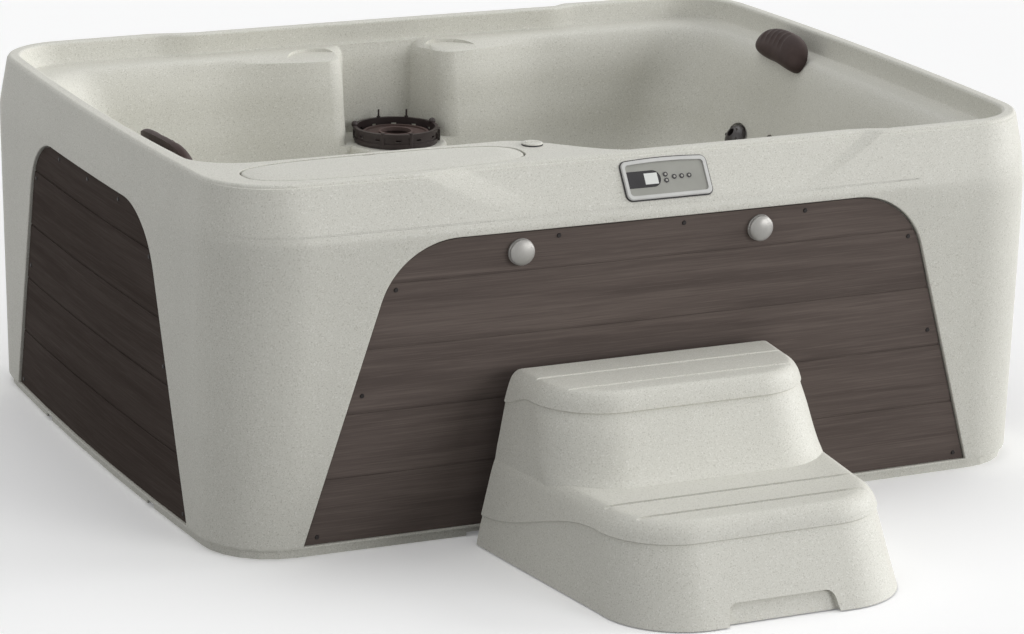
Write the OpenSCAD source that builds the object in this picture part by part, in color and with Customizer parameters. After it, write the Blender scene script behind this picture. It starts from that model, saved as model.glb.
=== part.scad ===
// Four-seat rotomoulded hot tub with plank panels, controls, filter, equipment and a two-tread step.
// Millimetres. The origin is on the floor under the middle of the tub, +Z up, the front faces -Y.

/* [Tub body] */
// Length along the front, at the widest line of the wall
tub_l = 1930; // [1850:5:2050]
// Width from front to back, at the widest line of the wall
tub_w = 1600; // [1540:5:1720]
// Height of the rim above the floor
tub_h = 768; // [750:1:800]
// Height of the crease where the upper band starts to lean in
crease_z = 655; // [650:1:665]
// Height at which the moulded wall ends over the base pan
wall_z = 24; // [20:1:30]
// How far the end walls draw in at the foot
foot_in_x = 8; // [2:1:20]
// How far the long walls draw in at the foot
foot_in_y = 33; // [10:1:40]
// How far the end walls lean in at the rim
rim_in_x = 14; // [6:1:24]
// How far the long walls lean in at the rim
rim_in_y = 47; // [30:1:52]
// Outward bow of the end walls
bow_x = 15; // [0:1:25]
// Outward bow of the long walls
bow_y = 8; // [0:1:20]
// Plan radius of the corners at the crease
corner_r = 190; // [170:1:210]
// Plan radius of the corners at the rim
rim_r = 160; // [150:1:180]
// Width of the rim's flat top
rim_w = 30; // [28:1:36]
// Thickness of the moulded skin
skin_t = 7; // [5:0.5:8]
// Radius of the rim's outer edge
rim_edge = 8; // [5:1:10]

/* [Bathing cavity] */
// Drop from the rim to the ledge over the seat backs
band_drop = 50; // [44:1:56]
// Width of that ledge
ledge_w = 36; // [30:1:44]
// Height of the seats above the floor
seat_z = 370; // [350:1:390]
// Height of the foot well's floor
well_z = 100; // [90:1:120]
// Half-length of the foot well at the seats
well_x = 470; // [440:5:500]
// Half-width of the foot well at the seats
well_y = 330; // [310:5:350]
// How far the front deck stands in behind the lid
deck_in = 180; // [170:1:190]
// Width of the filter bay in the back wall
bay_w = 216; // [212:1:222]
// Radius of the round shelves beside the bay
shelf_r = 75; // [60:1:80]
// Distance of each shelf from the middle
shelf_x = 185; // [180:1:195]
// Depth of the scoop in each seat back
scoop_d = 24; // [10:1:30]
// Swell of the back wall beside the bay
swell_in = 48; // [30:1:60]

/* [Recessed brow] */
// Depth of the brow at the rim
brow_d = 21; // [15:1:28]
// Height at which the brow begins
brow_z = 679; // [675:1:690]
// Half-width of the brow at its foot
brow_foot = 292; // [260:1:320]
// Half-width of the brow at the rim
brow_top = 430; // [400:1:450]
// Width of the ramp at each end of the brow, at the rim
brow_ramp = 110; // [80:1:130]
// Offset of the front brow from the middle
brow_x = 25; // [0:1:40]

/* [Plank panels] */
// Height of the panels' lower edge
panel_z = 25; // [25:1:32]
// Height of the panels' upper edge
panel_top = 640; // [620:1:642]
// Half-length of the front and back panels at the foot
front_half = 769; // [750:1:772]
// Half-length of the end panels at the foot
side_half = 545; // [530:1:560]
// Lean of the panels' slanting edges
edge_lean = 17.1; // [15:0.1:19]
// Radius of the panels' upper corners
arch_r = 168; // [140:1:190]
// Thickness of a panel
panel_t = 8; // [6:0.5:10]
// Depth of the panel's face behind the wall
panel_in = 6; // [4:0.5:8]
// Gap around a panel
panel_gap = 3; // [2:0.5:4]
// Width of the flange that a panel is screwed to
flange_w = 30; // [26:1:36]
// Height of the lowest plank line
plank_1 = 162; // [150:1:175]
// Spacing of the plank lines
plank_pitch = 133; // [120:1:136]
// Width of a plank line
groove_w = 5; // [3:0.5:8]
// Depth of a plank line
groove_d = 2; // [1:0.5:3]
// Radius of a panel screw's shank
screw_r = 2.2; // [2:0.1:2.5]
// Radius of a panel screw's head
screw_head = 5; // [4:0.5:6]

/* [Latch knobs] */
// Distance between the knobs
knob_pitch = 543; // [500:1:560]
// Offset of the pair from the middle
knob_off = -47; // [-60:1:0]
// Height of the knobs
knob_z = 600; // [590:1:602]
// Radius of the knob's domed cap
knob_r = 28; // [24:0.5:32]
// Radius of the knob's spindle
spindle_r = 6; // [5:0.5:8]

/* [Control panel] */
// Length of the bezel
ctl_l = 194; // [186:1:206]
// Height of the bezel
ctl_h = 86; // [80:1:90]
// Offset of the bezel from the middle
ctl_x = 17; // [0:1:30]
// Width of the bezel's frame
bezel_w = 8; // [6:0.5:10]
// Radius of a button
button_r = 5; // [4:0.25:5.25]
// Distance between the buttons in the row
button_pitch = 17; // [16:0.5:19]
// Travel of a button
button_travel = 1; // [0.5:0.1:1.5]

/* [Bar lid] */
// Half-length of the lid
lid_half = 300; // [280:1:304]
// Half-width of the lid
lid_wide = 82; // [76:1:84]
// Place of the lid's centre along the front
lid_x = -552; // [-560:1:-540]
// Place of the lid's centre from front to back
lid_y = -638; // [-642:1:-634]
// Thickness of the lid at its edge
lid_t = 12; // [8:1:16]
// Crown of the lid
lid_crown = 3; // [1:0.5:5]
// Gap around the lid
lid_gap = 2; // [1.5:0.5:3]
// Width of the ledge that the lid rests on
lid_ledge = 28; // [24:1:30]
// Depth of the ice bucket
bucket_d = 140; // [100:5:160]

/* [Filter] */
// Place of the filter from front to back
filter_y = 574; // [568:1:578]
// Height of the filter's pedestal
pedestal_z = 505; // [495:1:515]
// Radius of the pedestal
pedestal_r = 120; // [116:1:124]
// Outer radius of the guard ring
guard_r = 100; // [98:1:104]
// Height of the guard ring
guard_h = 31; // [26:1:34]
// Height of the guard's fins
fin_h = 50; // [44:1:54]
// Outer radius of the canister
canister_r = 86; // [82:1:88]
// Depth of the canister
canister_d = 230; // [180:5:250]
// Radius of the cartridge
cartridge_r = 78; // [70:1:80]

/* [Jets] */
// Face radius of a large jet
jet_r = 36; // [30:1:40]
// Face radius of a small jet
nozzle_r = 20; // [16:1:22]
// Height of the large jets
jet_z = 493; // [485:1:505]
// Height of the small jets
nozzle_z = 508; // [500:1:520]
// Place of the large jets along the end wall
jet_y = 350; // [335:1:360]
// Place of the small jets along the end wall
nozzle_y = 218; // [205:1:230]

/* [Head pillows] */
// Half-width of a pillow
pillow_half = 106; // [96:1:116]
// Half-height of a pillow
pillow_tall = 52; // [44:1:56]
// Thickness of a pillow at its crown
pillow_t = 36; // [28:1:42]
// Place of a pillow along the end wall
pillow_y = 266; // [256:1:276]
// Number of moulded ribs on a pillow
pillow_ribs = 5; // [3:1:6]

/* [Pump and heater] */
// Radius of the pump's motor
motor_r = 70; // [60:1:80]
// Length of the pump's motor
motor_l = 210; // [180:5:240]
// Radius of the pump's volute
volute_r = 88; // [80:1:95]
// Radius of the pump's shaft
shaft_r = 8; // [7:0.5:9]
// Outer radius of the plumbing
pipe_r = 25; // [20:1:27]
// Radius of the heater's tube
heater_r = 32; // [29:1:38]

/* [Step] */
// Half-width of the step at its back foot
step_half = 368; // [340:1:400]
// Depth of the step at its foot
step_deep = 625; // [600:5:660]
// Height of the upper tread
tread_top = 364; // [350:1:380]
// Height of the lower tread
tread_low = 194; // [180:1:205]
// Depth of the upper tread at its height
top_deep = 222; // [200:1:240]
// Plan radius of the step's front corners
step_r = 165; // [140:1:175]
// Distance of the step from the middle of the tub
step_x = -50; // [-80:1:0]
// Gap between the step and the tub's widest line
step_gap = 18; // [14:1:40]
// Wall of the step's hollow moulding
step_t = 5; // [4:0.5:7]

/* [Hidden] */

shell_grey = [0.80, 0.79, 0.76];
plank_brown = [0.30, 0.26, 0.24];
trim_brown = [0.20, 0.16, 0.15];
plastic_black = [0.09, 0.09, 0.10];
silver = [0.78, 0.78, 0.78];
pipe_white = [0.90, 0.90, 0.88];

fit = 0.3;             // running gap between pieces of different bodies
turn_fit = 0.08;       // radial gap of a turning fit
seat_gap = 0.1;        // gap under what is screwed to a bowed panel
corner_steps = 6;      // facets in a quarter of a plan ring
cave_steps = 5;        // facets in a quarter of the cavity's rings
end_knots = [-1, -0.6, -0.2, 0.2, 0.6, 1];
hx = tub_l / 2 - bow_x;
hy = tub_w / 2 - bow_y;
rebate = panel_in + panel_t;
band_t = tub_h - crease_z;

function lerp(a, b, t) = a + (b - a) * t;
function clamp01(t) = min(1, max(0, t));
function smooth(t) = let (u = clamp01(t)) u * u * (3 - 2 * u);

// Solid skin over rings of equal length, lowest ring first, each running anticlockwise from above
module loft(rings) {
    n = len(rings[0]);
    m = len(rings);
    points = [for (ring = rings) each ring];
    sides = [for (k = [0 : m - 2], i = [0 : n - 1], half = [0, 1])
        let (a = k * n + i, b = k * n + (i + 1) % n)
        half == 0 ? [a, a + n, b + n] : [a, b + n, b]];
    floor_cap = [[for (i = [0 : n - 1]) i]];
    roof_cap = [[for (i = [0 : n - 1]) m * n - 1 - i]];
    polyhedron(points = points, faces = concat(floor_cap, sides, roof_cap), convexity = 8);
}

function arc(cx, cy, r, from, z, steps = corner_steps) =
    [for (i = [0 : steps]) let (a = from + 90 * i / steps)
        [cx + r * cos(a), cy + r * sin(a), z]];

// A hole of n sides that clears a round of radius r by the gap g
module clear_hole(r, h, n, g = fit) {
    cylinder(r = (r + g) / cos(180 / n), h = h, $fn = n);
}

// How much of the brow's depth holds at a place along a long wall
function brow_share(x, z, mid) =
    let (up = (z - brow_z) / (tub_h - brow_z),
        inner = lerp(brow_foot, brow_top, up),
        ramp = max(1, brow_ramp * up))
    z <= brow_z ? 0 : 1 - smooth((abs(x - mid) - inner) / ramp);

function brow_places(z, mid) =
    let (up = clamp01((z - brow_z) / (tub_h - brow_z)),
        inner = lerp(brow_foot, brow_top, up),
        ramp = max(8, brow_ramp * up))
    [for (s = [-1, 1]) each s < 0
        ? [mid - inner - ramp, mid - inner - ramp / 2, mid - inner, mid - inner / 2]
        : [mid + inner / 2, mid + inner, mid + inner + ramp / 2, mid + inner + ramp]];

// One level of the outer wall: anticlockwise, starting at the right back corner
function wall_ring(z, in_x, in_y, r, d) =
    let (ax = hx - in_x - d, ay = hy - in_y - d, rr = r - d,
        sx = ax - rr, sy = ay - rr,
        dent = brow_d * clamp01((z - brow_z) / (tub_h - brow_z)),
        back = brow_places(z, 0), front = brow_places(z, brow_x),
        ends = [0.6, 0.2, -0.2, -0.6])
    concat(
        arc(sx, sy, rr, 0, z),
        [for (i = [7 : -1 : 0]) let (x = back[i])
            [x, ay + bow_y * (1 - pow(x / sx, 2)) - dent * brow_share(x, z, 0), z]],
        arc(-sx, sy, rr, 90, z),
        [for (t = ends) [-(ax + bow_x * (1 - t * t)), sy * t, z]],
        arc(-sx, -sy, rr, 180, z),
        [for (i = [0 : 7]) let (x = front[i])
            [x, -(ay + bow_y * (1 - pow(x / sx, 2)) - dent * brow_share(x, z, brow_x)), z]],
        arc(sx, -sy, rr, 270, z),
        [for (t = ends) [ax + bow_x * (1 - t * t), -sy * t, z]]);

// Inset of the long and end walls at a height
function in_y(z) = z < crease_z ? foot_in_y * (crease_z - z) / (crease_z - wall_z)
    : rim_in_y * (z - crease_z) / band_t;
function in_x(z) = z < crease_z ? foot_in_x * (crease_z - z) / (crease_z - wall_z)
    : rim_in_x * (z - crease_z) / band_t;
function ring_r(z) = z < crease_z ? lerp(corner_r, rim_r, 1 - (z - wall_z) / (crease_z - wall_z))
    : lerp(corner_r, rim_r, (z - crease_z) / band_t);

// The outer form, drawn in by d all over; a drawn-in form runs on through the floor
module outer_form(d) {
    low = d > 0 ? wall_z - 60 : wall_z;
    levels = [low, crease_z - 12, crease_z, crease_z + 12, brow_z, tub_h - rim_edge - d];
    loft(concat(
        [for (z = levels) let (soft = z == crease_z ? 1.2 : 0)
            wall_ring(z, in_x(z) + soft, in_y(z) + soft, ring_r(z), d)],
        [for (k = [1 : 2])
            let (a = 45 * k, z = tub_h - d - rim_edge * (1 - sin(a)), e = rim_edge * (1 - cos(a)))
            wall_ring(z, in_x(tub_h) + e, in_y(tub_h) + e, rim_r - e, d)]));
}

// Share of the deck's depth along the front: full behind the lid, none past the middle
function deck_share(t) = 1 - smooth((t + 0.325) / 0.29);

cave_x = hx - rim_in_x - rim_w;
cave_y = hy - rim_in_y - rim_w;
cave_r = rim_r - rim_w;
seat_back_x = 128;     // inset of the seat backs at half height
seat_back_y = 108;
seat_edge_x = cave_x - well_x;
seat_edge_y = cave_y - well_y;
back_h = tub_h - seat_z - band_drop - 62;   // height of the seat backs' straight run
cave_levels = [         // drop below the rim, inset along X, inset along Y, radius
    [-12, -4, -4, cave_r + 4],
    [0, -4, -4, cave_r + 4],
    [5, 0, 0, cave_r],
    [band_drop - 5, 5, 5, cave_r],
    [band_drop, 14, 14, cave_r],
    [band_drop + 2, 14 + ledge_w, 14 + ledge_w, cave_r],
    [band_drop + 12, 30 + ledge_w, 28 + ledge_w, cave_r],
    [band_drop + 0.175 * back_h, 52 + ledge_w, 46 + ledge_w, cave_r],
    [band_drop + 0.455 * back_h, seat_back_x - 14, seat_back_y - 12, cave_r],
    [band_drop + 0.82 * back_h, seat_back_x + 14, seat_back_y + 8, cave_r],
    [tub_h - seat_z - 62, seat_back_x + 48, seat_back_y + 30, cave_r - 10],
    [tub_h - seat_z - 18, seat_back_x + 100, seat_back_y + 60, cave_r - 10],
    [tub_h - seat_z, seat_back_x + 160, seat_back_y + 100, cave_r - 10],
    [tub_h - seat_z + 5, seat_edge_x - 30, seat_edge_y - 25, cave_r],
    [tub_h - seat_z + 25, seat_edge_x, seat_edge_y, cave_r],
    [tub_h - well_z - 40, seat_edge_x + 25, seat_edge_y + 20, cave_r],
    [tub_h - well_z - 8, seat_edge_x + 45, seat_edge_y + 40, cave_r],
    [tub_h - well_z, seat_edge_x + 80, seat_edge_y + 70, cave_r - 30]];

function bump(u) = abs(u) < 1 ? pow(1 - u * u, 2) : 0;
scoop_z = seat_z + 150;

// Depth of the scoop in the right end wall at a place; the left one is turned half round
function scoop(y, z) = scoop_d * bump((y - pillow_y) / 230) * bump((z - scoop_z) / 190);

// How far the back wall swells towards the tub beside the filter bay
function swell(x, drop) = drop < band_drop + 1 ? 0
    : swell_in * (1 - smooth((abs(x) - bay_w / 2 - 60) / 260)) * clamp01((tub_h - drop - seat_z) / 60);

cave_runs = [-0.78, -0.6, -0.4, -0.325, -0.25, -0.18, -0.1, -0.035, 0.15, 0.35, 0.56, 0.8];
back_runs = [-0.8, -0.62, -0.47, -0.34, -0.22, -0.1, 0.1, 0.22, 0.34, 0.47, 0.62, 0.8];
side_runs = [0.85, 0.7, 0.53, 0.36, 0.19, 0.02, -0.3, -0.65];

// One level of the cavity, grown by d; the front half is drawn back behind the deck
function cave_ring(level, d) =
    let (drop = level[0], zc = tub_h - drop, z = zc - (drop > band_drop + 1 ? d : 0),
        ax = cave_x - level[1] + d, ay = cave_y - level[2] + d, rr = level[3] + d,
        sx = ax - rr, sy = ay - rr,
        dent = brow_d * clamp01((zc - brow_z) / (tub_h - brow_z)),
        draw = zc < seat_z - 4 ? 0 : deck_in / cave_y,
        ring = concat(
            arc(sx, sy, rr, 0, z, cave_steps),
            [for (i = [11 : -1 : 0]) let (x = sx * back_runs[i])
                [x, ay + bow_y * (1 - pow(x / sx, 2)) - dent * brow_share(x, tub_h, 0) - swell(x, drop), z]],
            arc(-sx, sy, rr, 90, z, cave_steps),
            [for (t = side_runs) [-(ax + bow_x * (1 - t * t) + scoop(-sy * t, zc)), sy * t, z]],
            arc(-sx, -sy, rr, 180, z, cave_steps),
            [for (t = cave_runs) let (x = sx * t)
                [x, -(ay + bow_y * (1 - t * t)
                    - dent * brow_share(x, tub_h, brow_x) * (1 - deck_share(t))), z]],
            arc(sx, -sy, rr, 270, z, cave_steps),
            [for (t = side_runs) [ax + bow_x * (1 - t * t) + scoop(-sy * t, zc), -sy * t, z]]))
    [for (p = ring) p[1] >= 0 ? p : [p[0], p[1] * (1 - draw * deck_share(p[0] / max(sx, 1))), p[2]]];

// Inset of the cavity's walls at a height, and its faces there
function cave_in(z, k) = lookup(tub_h - z, [for (l = cave_levels) [l[0], l[k]]]);
function cave_face_x(y, z) = let (s = cave_y - cave_in(z, 2) - cave_r)
    cave_x - cave_in(z, 1) + bow_x * (1 - pow(y / s, 2)) + scoop(y, z);
function cave_face_y(x, z) = let (s = cave_x - cave_in(z, 1) - cave_r)
    cave_y - cave_in(z, 2) + bow_y * (1 - pow(x / s, 2));

bay_back = cave_y + bow_y - brow_d - 6;
shelf_z = tub_h - band_drop - 10;
shelf_y = bay_back - 16 - shelf_r;

// Levels that the hidden side of the skin does without
skin_skips = [1, 6, 13];

// The bathing cavity, grown by d
module cavity(d) {
    difference() {
        union() {
            loft([for (i = [len(cave_levels) - 1 : -1 : 0])
                if (d == 0 || len(search(i, skin_skips)) == 0) cave_ring(cave_levels[i], d)]);
            translate([-bay_w / 2 - d, filter_y - 60, pedestal_z - d])
                cube([bay_w + 2 * d, bay_back + d - filter_y + 60, tub_h - band_drop - pedestal_z + d]);
            for (s = [-1, 1])
                translate([s * shelf_x, shelf_y, shelf_z - d]) cylinder(r = shelf_r + d, h = 40, $fn = 32);
        }
        translate([0, filter_y, 0])
            cylinder(r1 = pedestal_r + 30 - d, r2 = pedestal_r - d, h = pedestal_z - d, $fn = 40);
        translate([-bay_w / 2 + d, filter_y, 0]) cube([bay_w - 2 * d, 200, pedestal_z - d]);
    }
}

// Half-length of an arch at a height, and the centre of its corner arc
function top_half(half) = half - tan(edge_lean) * (panel_top - panel_z);
function arc_x(half) = top_half(half) - arch_r * tan((90 - edge_lean) / 2);

// Outline of an arched opening from a height up, grown by g
module arch(half, g, low) {
    hull() {
        translate([-half - g, low]) square([2 * (half + g), max(0.01, panel_z - low)]);
        for (s = [-1, 1])
            translate([s * arc_x(half), panel_top - arch_r]) circle(r = arch_r + g, $fn = 36);
    }
}

module arch_blocks(g) {
    for (a = [0, 180])
        rotate([0, 0, a]) translate([0, 60 - hy, 0]) rotate([90, 0, 0])
            linear_extrude(height = 150) arch(front_half, g, wall_z - 20);
    for (a = [90, 270])
        rotate([0, 0, a]) translate([0, 60 - hx, 0]) rotate([90, 0, 0])
            linear_extrude(height = 150) arch(side_half, g, wall_z - 20);
}

// The long and end walls' faces at a place, before any inset
function half_run(z) = hx - in_x(z) - ring_r(z);
function half_side(z) = hy - in_y(z) - ring_r(z);
function long_face(x, z, mid = brow_x) = let (s = half_run(z), places = brow_places(z, mid))
    hy - in_y(z) + bow_y * lookup(x, concat([[-s, 0]], [for (p = places) [p, 1 - pow(p / s, 2)]], [[s, 0]]));
function end_face(y, z) = let (s = half_side(z))
    hx - in_x(z) + bow_x * lookup(y, [for (t = end_knots) [t * s, 1 - t * t]]);
wall_lean = atan(foot_in_y / (crease_z - wall_z));
end_lean = atan(foot_in_x / (crease_z - wall_z));

// Frames on the walls at depth d, +Z out of the wall; the end walls' frame stands in a turned one
module on_long(x, z, mid, d) {
    slope = (long_face(x - 1, z, mid) - long_face(x + 1, z, mid)) / 2;
    translate([x, d - long_face(x, z, mid), z])
        rotate([0, 0, atan(slope)]) rotate([90 + wall_lean, 0, 0]) children();
}

module on_end(y, z, d) {
    slope = (end_face(y - 1, z) - end_face(y + 1, z)) / 2;
    translate([y, d - end_face(y, z), z])
        rotate([0, 0, atan(slope)]) rotate([90 + end_lean, 0, 0]) children();
}

// The bar lid's outline, grown by g
module lid_outline(g) {
    polygon([for (i = [0 : 47]) let (a = i * 7.5, c = cos(a), s = sin(a))
        [sign(c) * pow(abs(c), 0.62) * lid_half + g * c, sign(s) * pow(abs(s), 0.72) * lid_wide + g * s]]);
}

// The control panel's own frame: middle of its place on the brow, +Z out of the face
brow_run = tub_h - rim_edge - brow_z;
ctl_low_y = long_face(ctl_x, brow_z);
ctl_high_y = long_face(ctl_x, tub_h - rim_edge) - brow_d * brow_run / (tub_h - brow_z);
ctl_lean = atan((ctl_low_y - ctl_high_y) / brow_run);
ctl_mid_z = brow_z + 2 + ctl_h / 2 * cos(ctl_lean);
ctl_mid_y = ctl_low_y - (ctl_mid_z - brow_z) * tan(ctl_lean);
ctl_off = 0.15;        // gap between the bezel's back and the brow

module at_control() {
    translate([ctl_x, -ctl_mid_y, ctl_mid_z]) rotate([90 - ctl_lean, 0, 0])
        translate([0, 0, ctl_off]) children();
}

// A plate with round corners and a slightly arched upper edge, its underside at z = 0
module soft_plate(l, h, r, t) {
    linear_extrude(height = t)
        hull() {
            for (sx = [-1, 1]) translate([sx * (l / 2 - r), r - h / 2]) circle(r = r, $fn = 32);
            for (k = [-3 : 3]) let (u = k / 3)
                translate([u * (l / 2 - r), h / 2 - r - 3 * u * u]) circle(r = r, $fn = 32);
        }
}

// A latch knob's own frame: middle of its seat on the front panel, +Z out of the face
knob_places = [knob_off - knob_pitch / 2, knob_off + knob_pitch / 2];
module at_knob(i) {
    on_long(knob_places[i], knob_z, brow_x, panel_in) children();
}

// A jet's own frame on the seat back, +Z into the tub; the left ones are the right ones turned half round
sink = 4;              // depth of the flat landing under a fitting
function jet_lean(y, z) = atan((cave_face_x(y, z + 25) - cave_face_x(y, z - 25)) / 50);
left_k = 1 - deck_in / cave_y;     // the left wall is drawn back with the deck
module at_jet(y, z, left = false) {
    rotate([0, 0, left ? 180 : 0])
        translate([cave_face_x(y, z), left ? y * left_k : y, z])
        rotate([0, jet_lean(y, z) - 90, 0]) translate([0, 0, -sink]) children();
}

// A fitting's own frame on the foot well's front wall, +Z into the well
well_mid_z = 200;
well_sink = 6;
suction_x = 150;
module at_well(x) {
    translate([x, -cave_face_y(x, well_mid_z) - well_sink, well_mid_z]) rotate([-90, 0, 0]) children();
}

jet_bore = 24;
nozzle_bore = 12;
cover_r = 44;
fitting_r = 30;
module landings(grow) {
    for (left = [false, true]) {
        at_jet(jet_y, jet_z, left) translate([0, 0, -grow])
            cylinder(r = jet_r + 2 + grow, h = 60, $fn = 28);
        at_jet(nozzle_y, nozzle_z, left) translate([0, 0, -grow])
            cylinder(r = nozzle_r + 2 + grow, h = 60, $fn = 20);
    }
    for (s = [-1, 1])
        at_well(s * suction_x) translate([0, 0, -grow]) cylinder(r = cover_r + 2 + grow, h = 40, $fn = 28);
}

flange_t = 2.5;        // thickness of the ice bucket's flange
lid_seat = lid_t + flange_t + fit;

// The whole moulding's solid form, drawn in by d all over
module envelope(d) {
    difference() {
        outer_form(d);
        difference() {
            arch_blocks(panel_gap + d);
            outer_form(rebate + d);
        }
        cavity(d);
        landings(d);
        translate([lid_x, lid_y, tub_h - lid_seat - d])
            linear_extrude(height = 40) lid_outline(lid_gap + d);
    }
}

// Screw places round an arch: [along, height]
screw_in = 14;         // distance of the screws inside a panel's edge
function screw_places(half, top, mid, pitch) = concat(
    [for (s = [-1, 1], z = [panel_z + 15, 330, 545])
        [s * (half - tan(edge_lean) * (z - panel_z) - screw_in - 8), z]],
    [for (k = [-1, 0, 1]) [mid + k * pitch, top - screw_in]]);
front_screws = screw_places(front_half, panel_top, 48, 283);
side_screws = screw_places(side_half, panel_top, 0, 190);
module long_screws(mid) {
    for (p = front_screws) on_long(p[0], p[1], mid, panel_in) children();
}

module end_screws() {
    for (p = side_screws) on_end(p[0], p[1], panel_in) children();
}

module at_screws() {
    long_screws(brow_x) children();
    rotate([0, 0, 180]) long_screws(0) children();
    for (a = [90, 270]) rotate([0, 0, a]) end_screws() children();
}

// A pillow's own frame: middle of its back, +X along the wall, +Z out of the wall
ledge_x = cave_face_x(pillow_y, tub_h - band_drop - 12);
pillow_lean = 45;
module at_pillow(left = false) {
    k = left ? left_k : 1;
    rotate([0, 0, left ? 180 : 0])
        translate([ledge_x, pillow_y * k, tub_h - band_drop - 12])
        rotate([0, 0, -90 + atan(2 * bow_x * pillow_y / pow(cave_y - cave_r - ledge_w, 2) / k)])
        rotate([90 - pillow_lean, 0, 0]) translate([0, pillow_up, pillow_off]) children();
}
pillow_up = 16;        // distance of the pillow's middle above the shoulder
pillow_off = 1.6;      // gap between the pillow's back and the shoulder
peg_r = 4.5;
peg_x = 62;

// Air valve on the deck
air_x = -206;
air_y = -598;
air_r = 14;

module tub_shell() {
    color(shell_grey)
    difference() {
        envelope(0);
        envelope(skin_t);
        arch_blocks(panel_gap - flange_w);
        translate([lid_x, lid_y, tub_h - 80])
            linear_extrude(height = 100) lid_outline(-lid_ledge);
        translate([0, filter_y, pedestal_z - 40]) clear_hole(canister_r, 60, 36);
        at_control() translate([0, 0, -50]) soft_plate(hole_l, hole_h, 6, 80);
        for (left = [false, true]) {
            at_jet(jet_y, jet_z, left) translate([0, 0, -40]) clear_hole(jet_bore, 60, 20);
            at_jet(nozzle_y, nozzle_z, left) translate([0, 0, -40]) clear_hole(nozzle_bore, 60, 16);
            at_pillow(left) for (s = [-1, 1])
                translate([s * peg_x, 0, -40]) clear_hole(peg_r, 60, 10);
        }
        translate([air_x, air_y, tub_h - 60]) clear_hole(air_r, 80, 20);
        for (s = [-1, 1])
            at_well(s * suction_x) translate([0, 0, -30]) clear_hole(fitting_r, 40, 24);
    }
}

// The plan of the tub's foot, drawn in by d
module foot_plan(d) {
    polygon([for (p = wall_ring(wall_z, foot_in_x, foot_in_y, rim_r, d)) [p[0], p[1]]]);
}

pan_t = 4;             // thickness of the base pan
pan_in = 10;           // how far the skirt stands in under the wall
pad_r = 60;
pad_x = 620;
pad_y = 460;
notch_w = 36;
module base_pan() {
    color(shell_grey)
    difference() {
        union() {
            difference() {
                union() {
                    linear_extrude(height = wall_z - pan_t) foot_plan(pan_in);
                    translate([0, 0, wall_z - pan_t]) linear_extrude(height = pan_t) foot_plan(1);
                }
                translate([0, 0, -1]) linear_extrude(height = wall_z - pan_t + 1) foot_plan(pan_in + pan_t);
            }
            cylinder(r = pad_r, h = wall_z - 1);
            for (x = [-1, 1], y = [-1, 1])
                translate([x * pad_x, y * pad_y, 0]) cylinder(r = pad_r, h = wall_z - 1);
        }
        // Lifting notches in the skirt
        for (a = [0, 180], x = [-395, 385])
            rotate([0, 0, a]) translate([x - notch_w / 2, -hy - 10, -1]) cube([notch_w, 90, 9]);
        for (a = [90, 270], x = [-330, 330])
            rotate([0, 0, a]) translate([x - notch_w / 2, -hx - 20, -1]) cube([notch_w, 90, 9]);
    }
}

// Where the plank lines run
plank_lines = [for (z = [plank_1 : plank_pitch : panel_top - 30]) z];

// A panel of planks facing -Y; the form of the wall is turned by a to meet it
module panel(half, a, reach) {
    difference() {
        intersection() {
            translate([0, 60 - reach, 0]) rotate([90, 0, 0])
                linear_extrude(height = 150) arch(half, 0, panel_z);
            rotate([0, 0, -a]) outer_form(panel_in);
        }
        rotate([0, 0, -a]) outer_form(rebate);
        difference() {
            for (z = plank_lines) translate([-half, -reach - 40, z - groove_w / 2])
                cube([2 * half, 100, groove_w]);
            rotate([0, 0, -a]) outer_form(panel_in + groove_d);
        }
    }
}

module front_panel() {
    color(plank_brown)
    difference() {
        panel(front_half, 0, hy);
        long_screws(brow_x) translate([0, 0, -20]) clear_hole(screw_r, 40, 8, turn_fit);
        for (i = [0, 1]) at_knob(i) translate([0, 0, -20]) clear_hole(knob_boss, 40, 20);
    }
}

module back_panel() {
    color(plank_brown)
    rotate([0, 0, 180])
    difference() {
        panel(front_half, 180, hy);
        long_screws(0) translate([0, 0, -20]) clear_hole(screw_r, 40, 8, turn_fit);
        on_long(drain_x, drain_z, 0, panel_in) translate([0, 0, -20]) clear_hole(drain_neck, 40, 24);
        on_long(-drain_x, drain_z, 0, panel_in) translate([0, 0, -20]) clear_hole(gland_neck, 40, 24);
    }
}

module end_panel(a) {
    rotate([0, 0, a])
    difference() {
        panel(side_half, a, hx);
        end_screws() translate([0, 0, -20]) clear_hole(screw_r, 40, 8, turn_fit);
    }
}

module left_panel() {
    color(plank_brown) end_panel(270);
}

module right_panel() {
    color(plank_brown) end_panel(90);
}

module panel_screws() {
    color(plastic_black)
    at_screws() {
        translate([0, 0, seat_gap]) cylinder(r1 = screw_head, r2 = screw_head - 1.2, h = 2.2);
        translate([0, 0, -18]) cylinder(r = screw_r, h = 18 + 1);
    }
}

board_t = 20;
board_gap = 30;        // distance of a foam board behind an end panel
module insulation_boards() {
    color([0.86, 0.82, 0.62])
    for (s = [-1, 1])
        translate([s * (hx - foot_in_x - rebate - board_gap) - board_t / 2, -side_half + 150, wall_z])
            cube([board_t, 2 * (side_half - 150), seat_z - wall_z - skin_t - 10]);
}

module well_support() {
    color([0.86, 0.82, 0.62])
    translate([80 - well_x, 110 - well_y, wall_z])
        cube([2 * (well_x - 80), 2 * (well_y - 110), well_z - skin_t - wall_z]);
}

// The bar lid: crowned top, a plug that drops into the bucket, and a finger slit
slit_l = 30;
slit_w = 9;
module bar_lid() {
    color(shell_grey)
    translate([lid_x, lid_y, tub_h - lid_t])
    difference() {
        union() {
            lid_loft();
            translate([0, 0, -6]) linear_extrude(height = 7) lid_outline(-lid_ledge - flange_t - 1);
        }
        translate([0, lid_wide - slit_w + 4, lid_t / 2 + 4])
            cube([slit_l, slit_w, lid_t + 20], center = true);
    }
}

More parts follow.
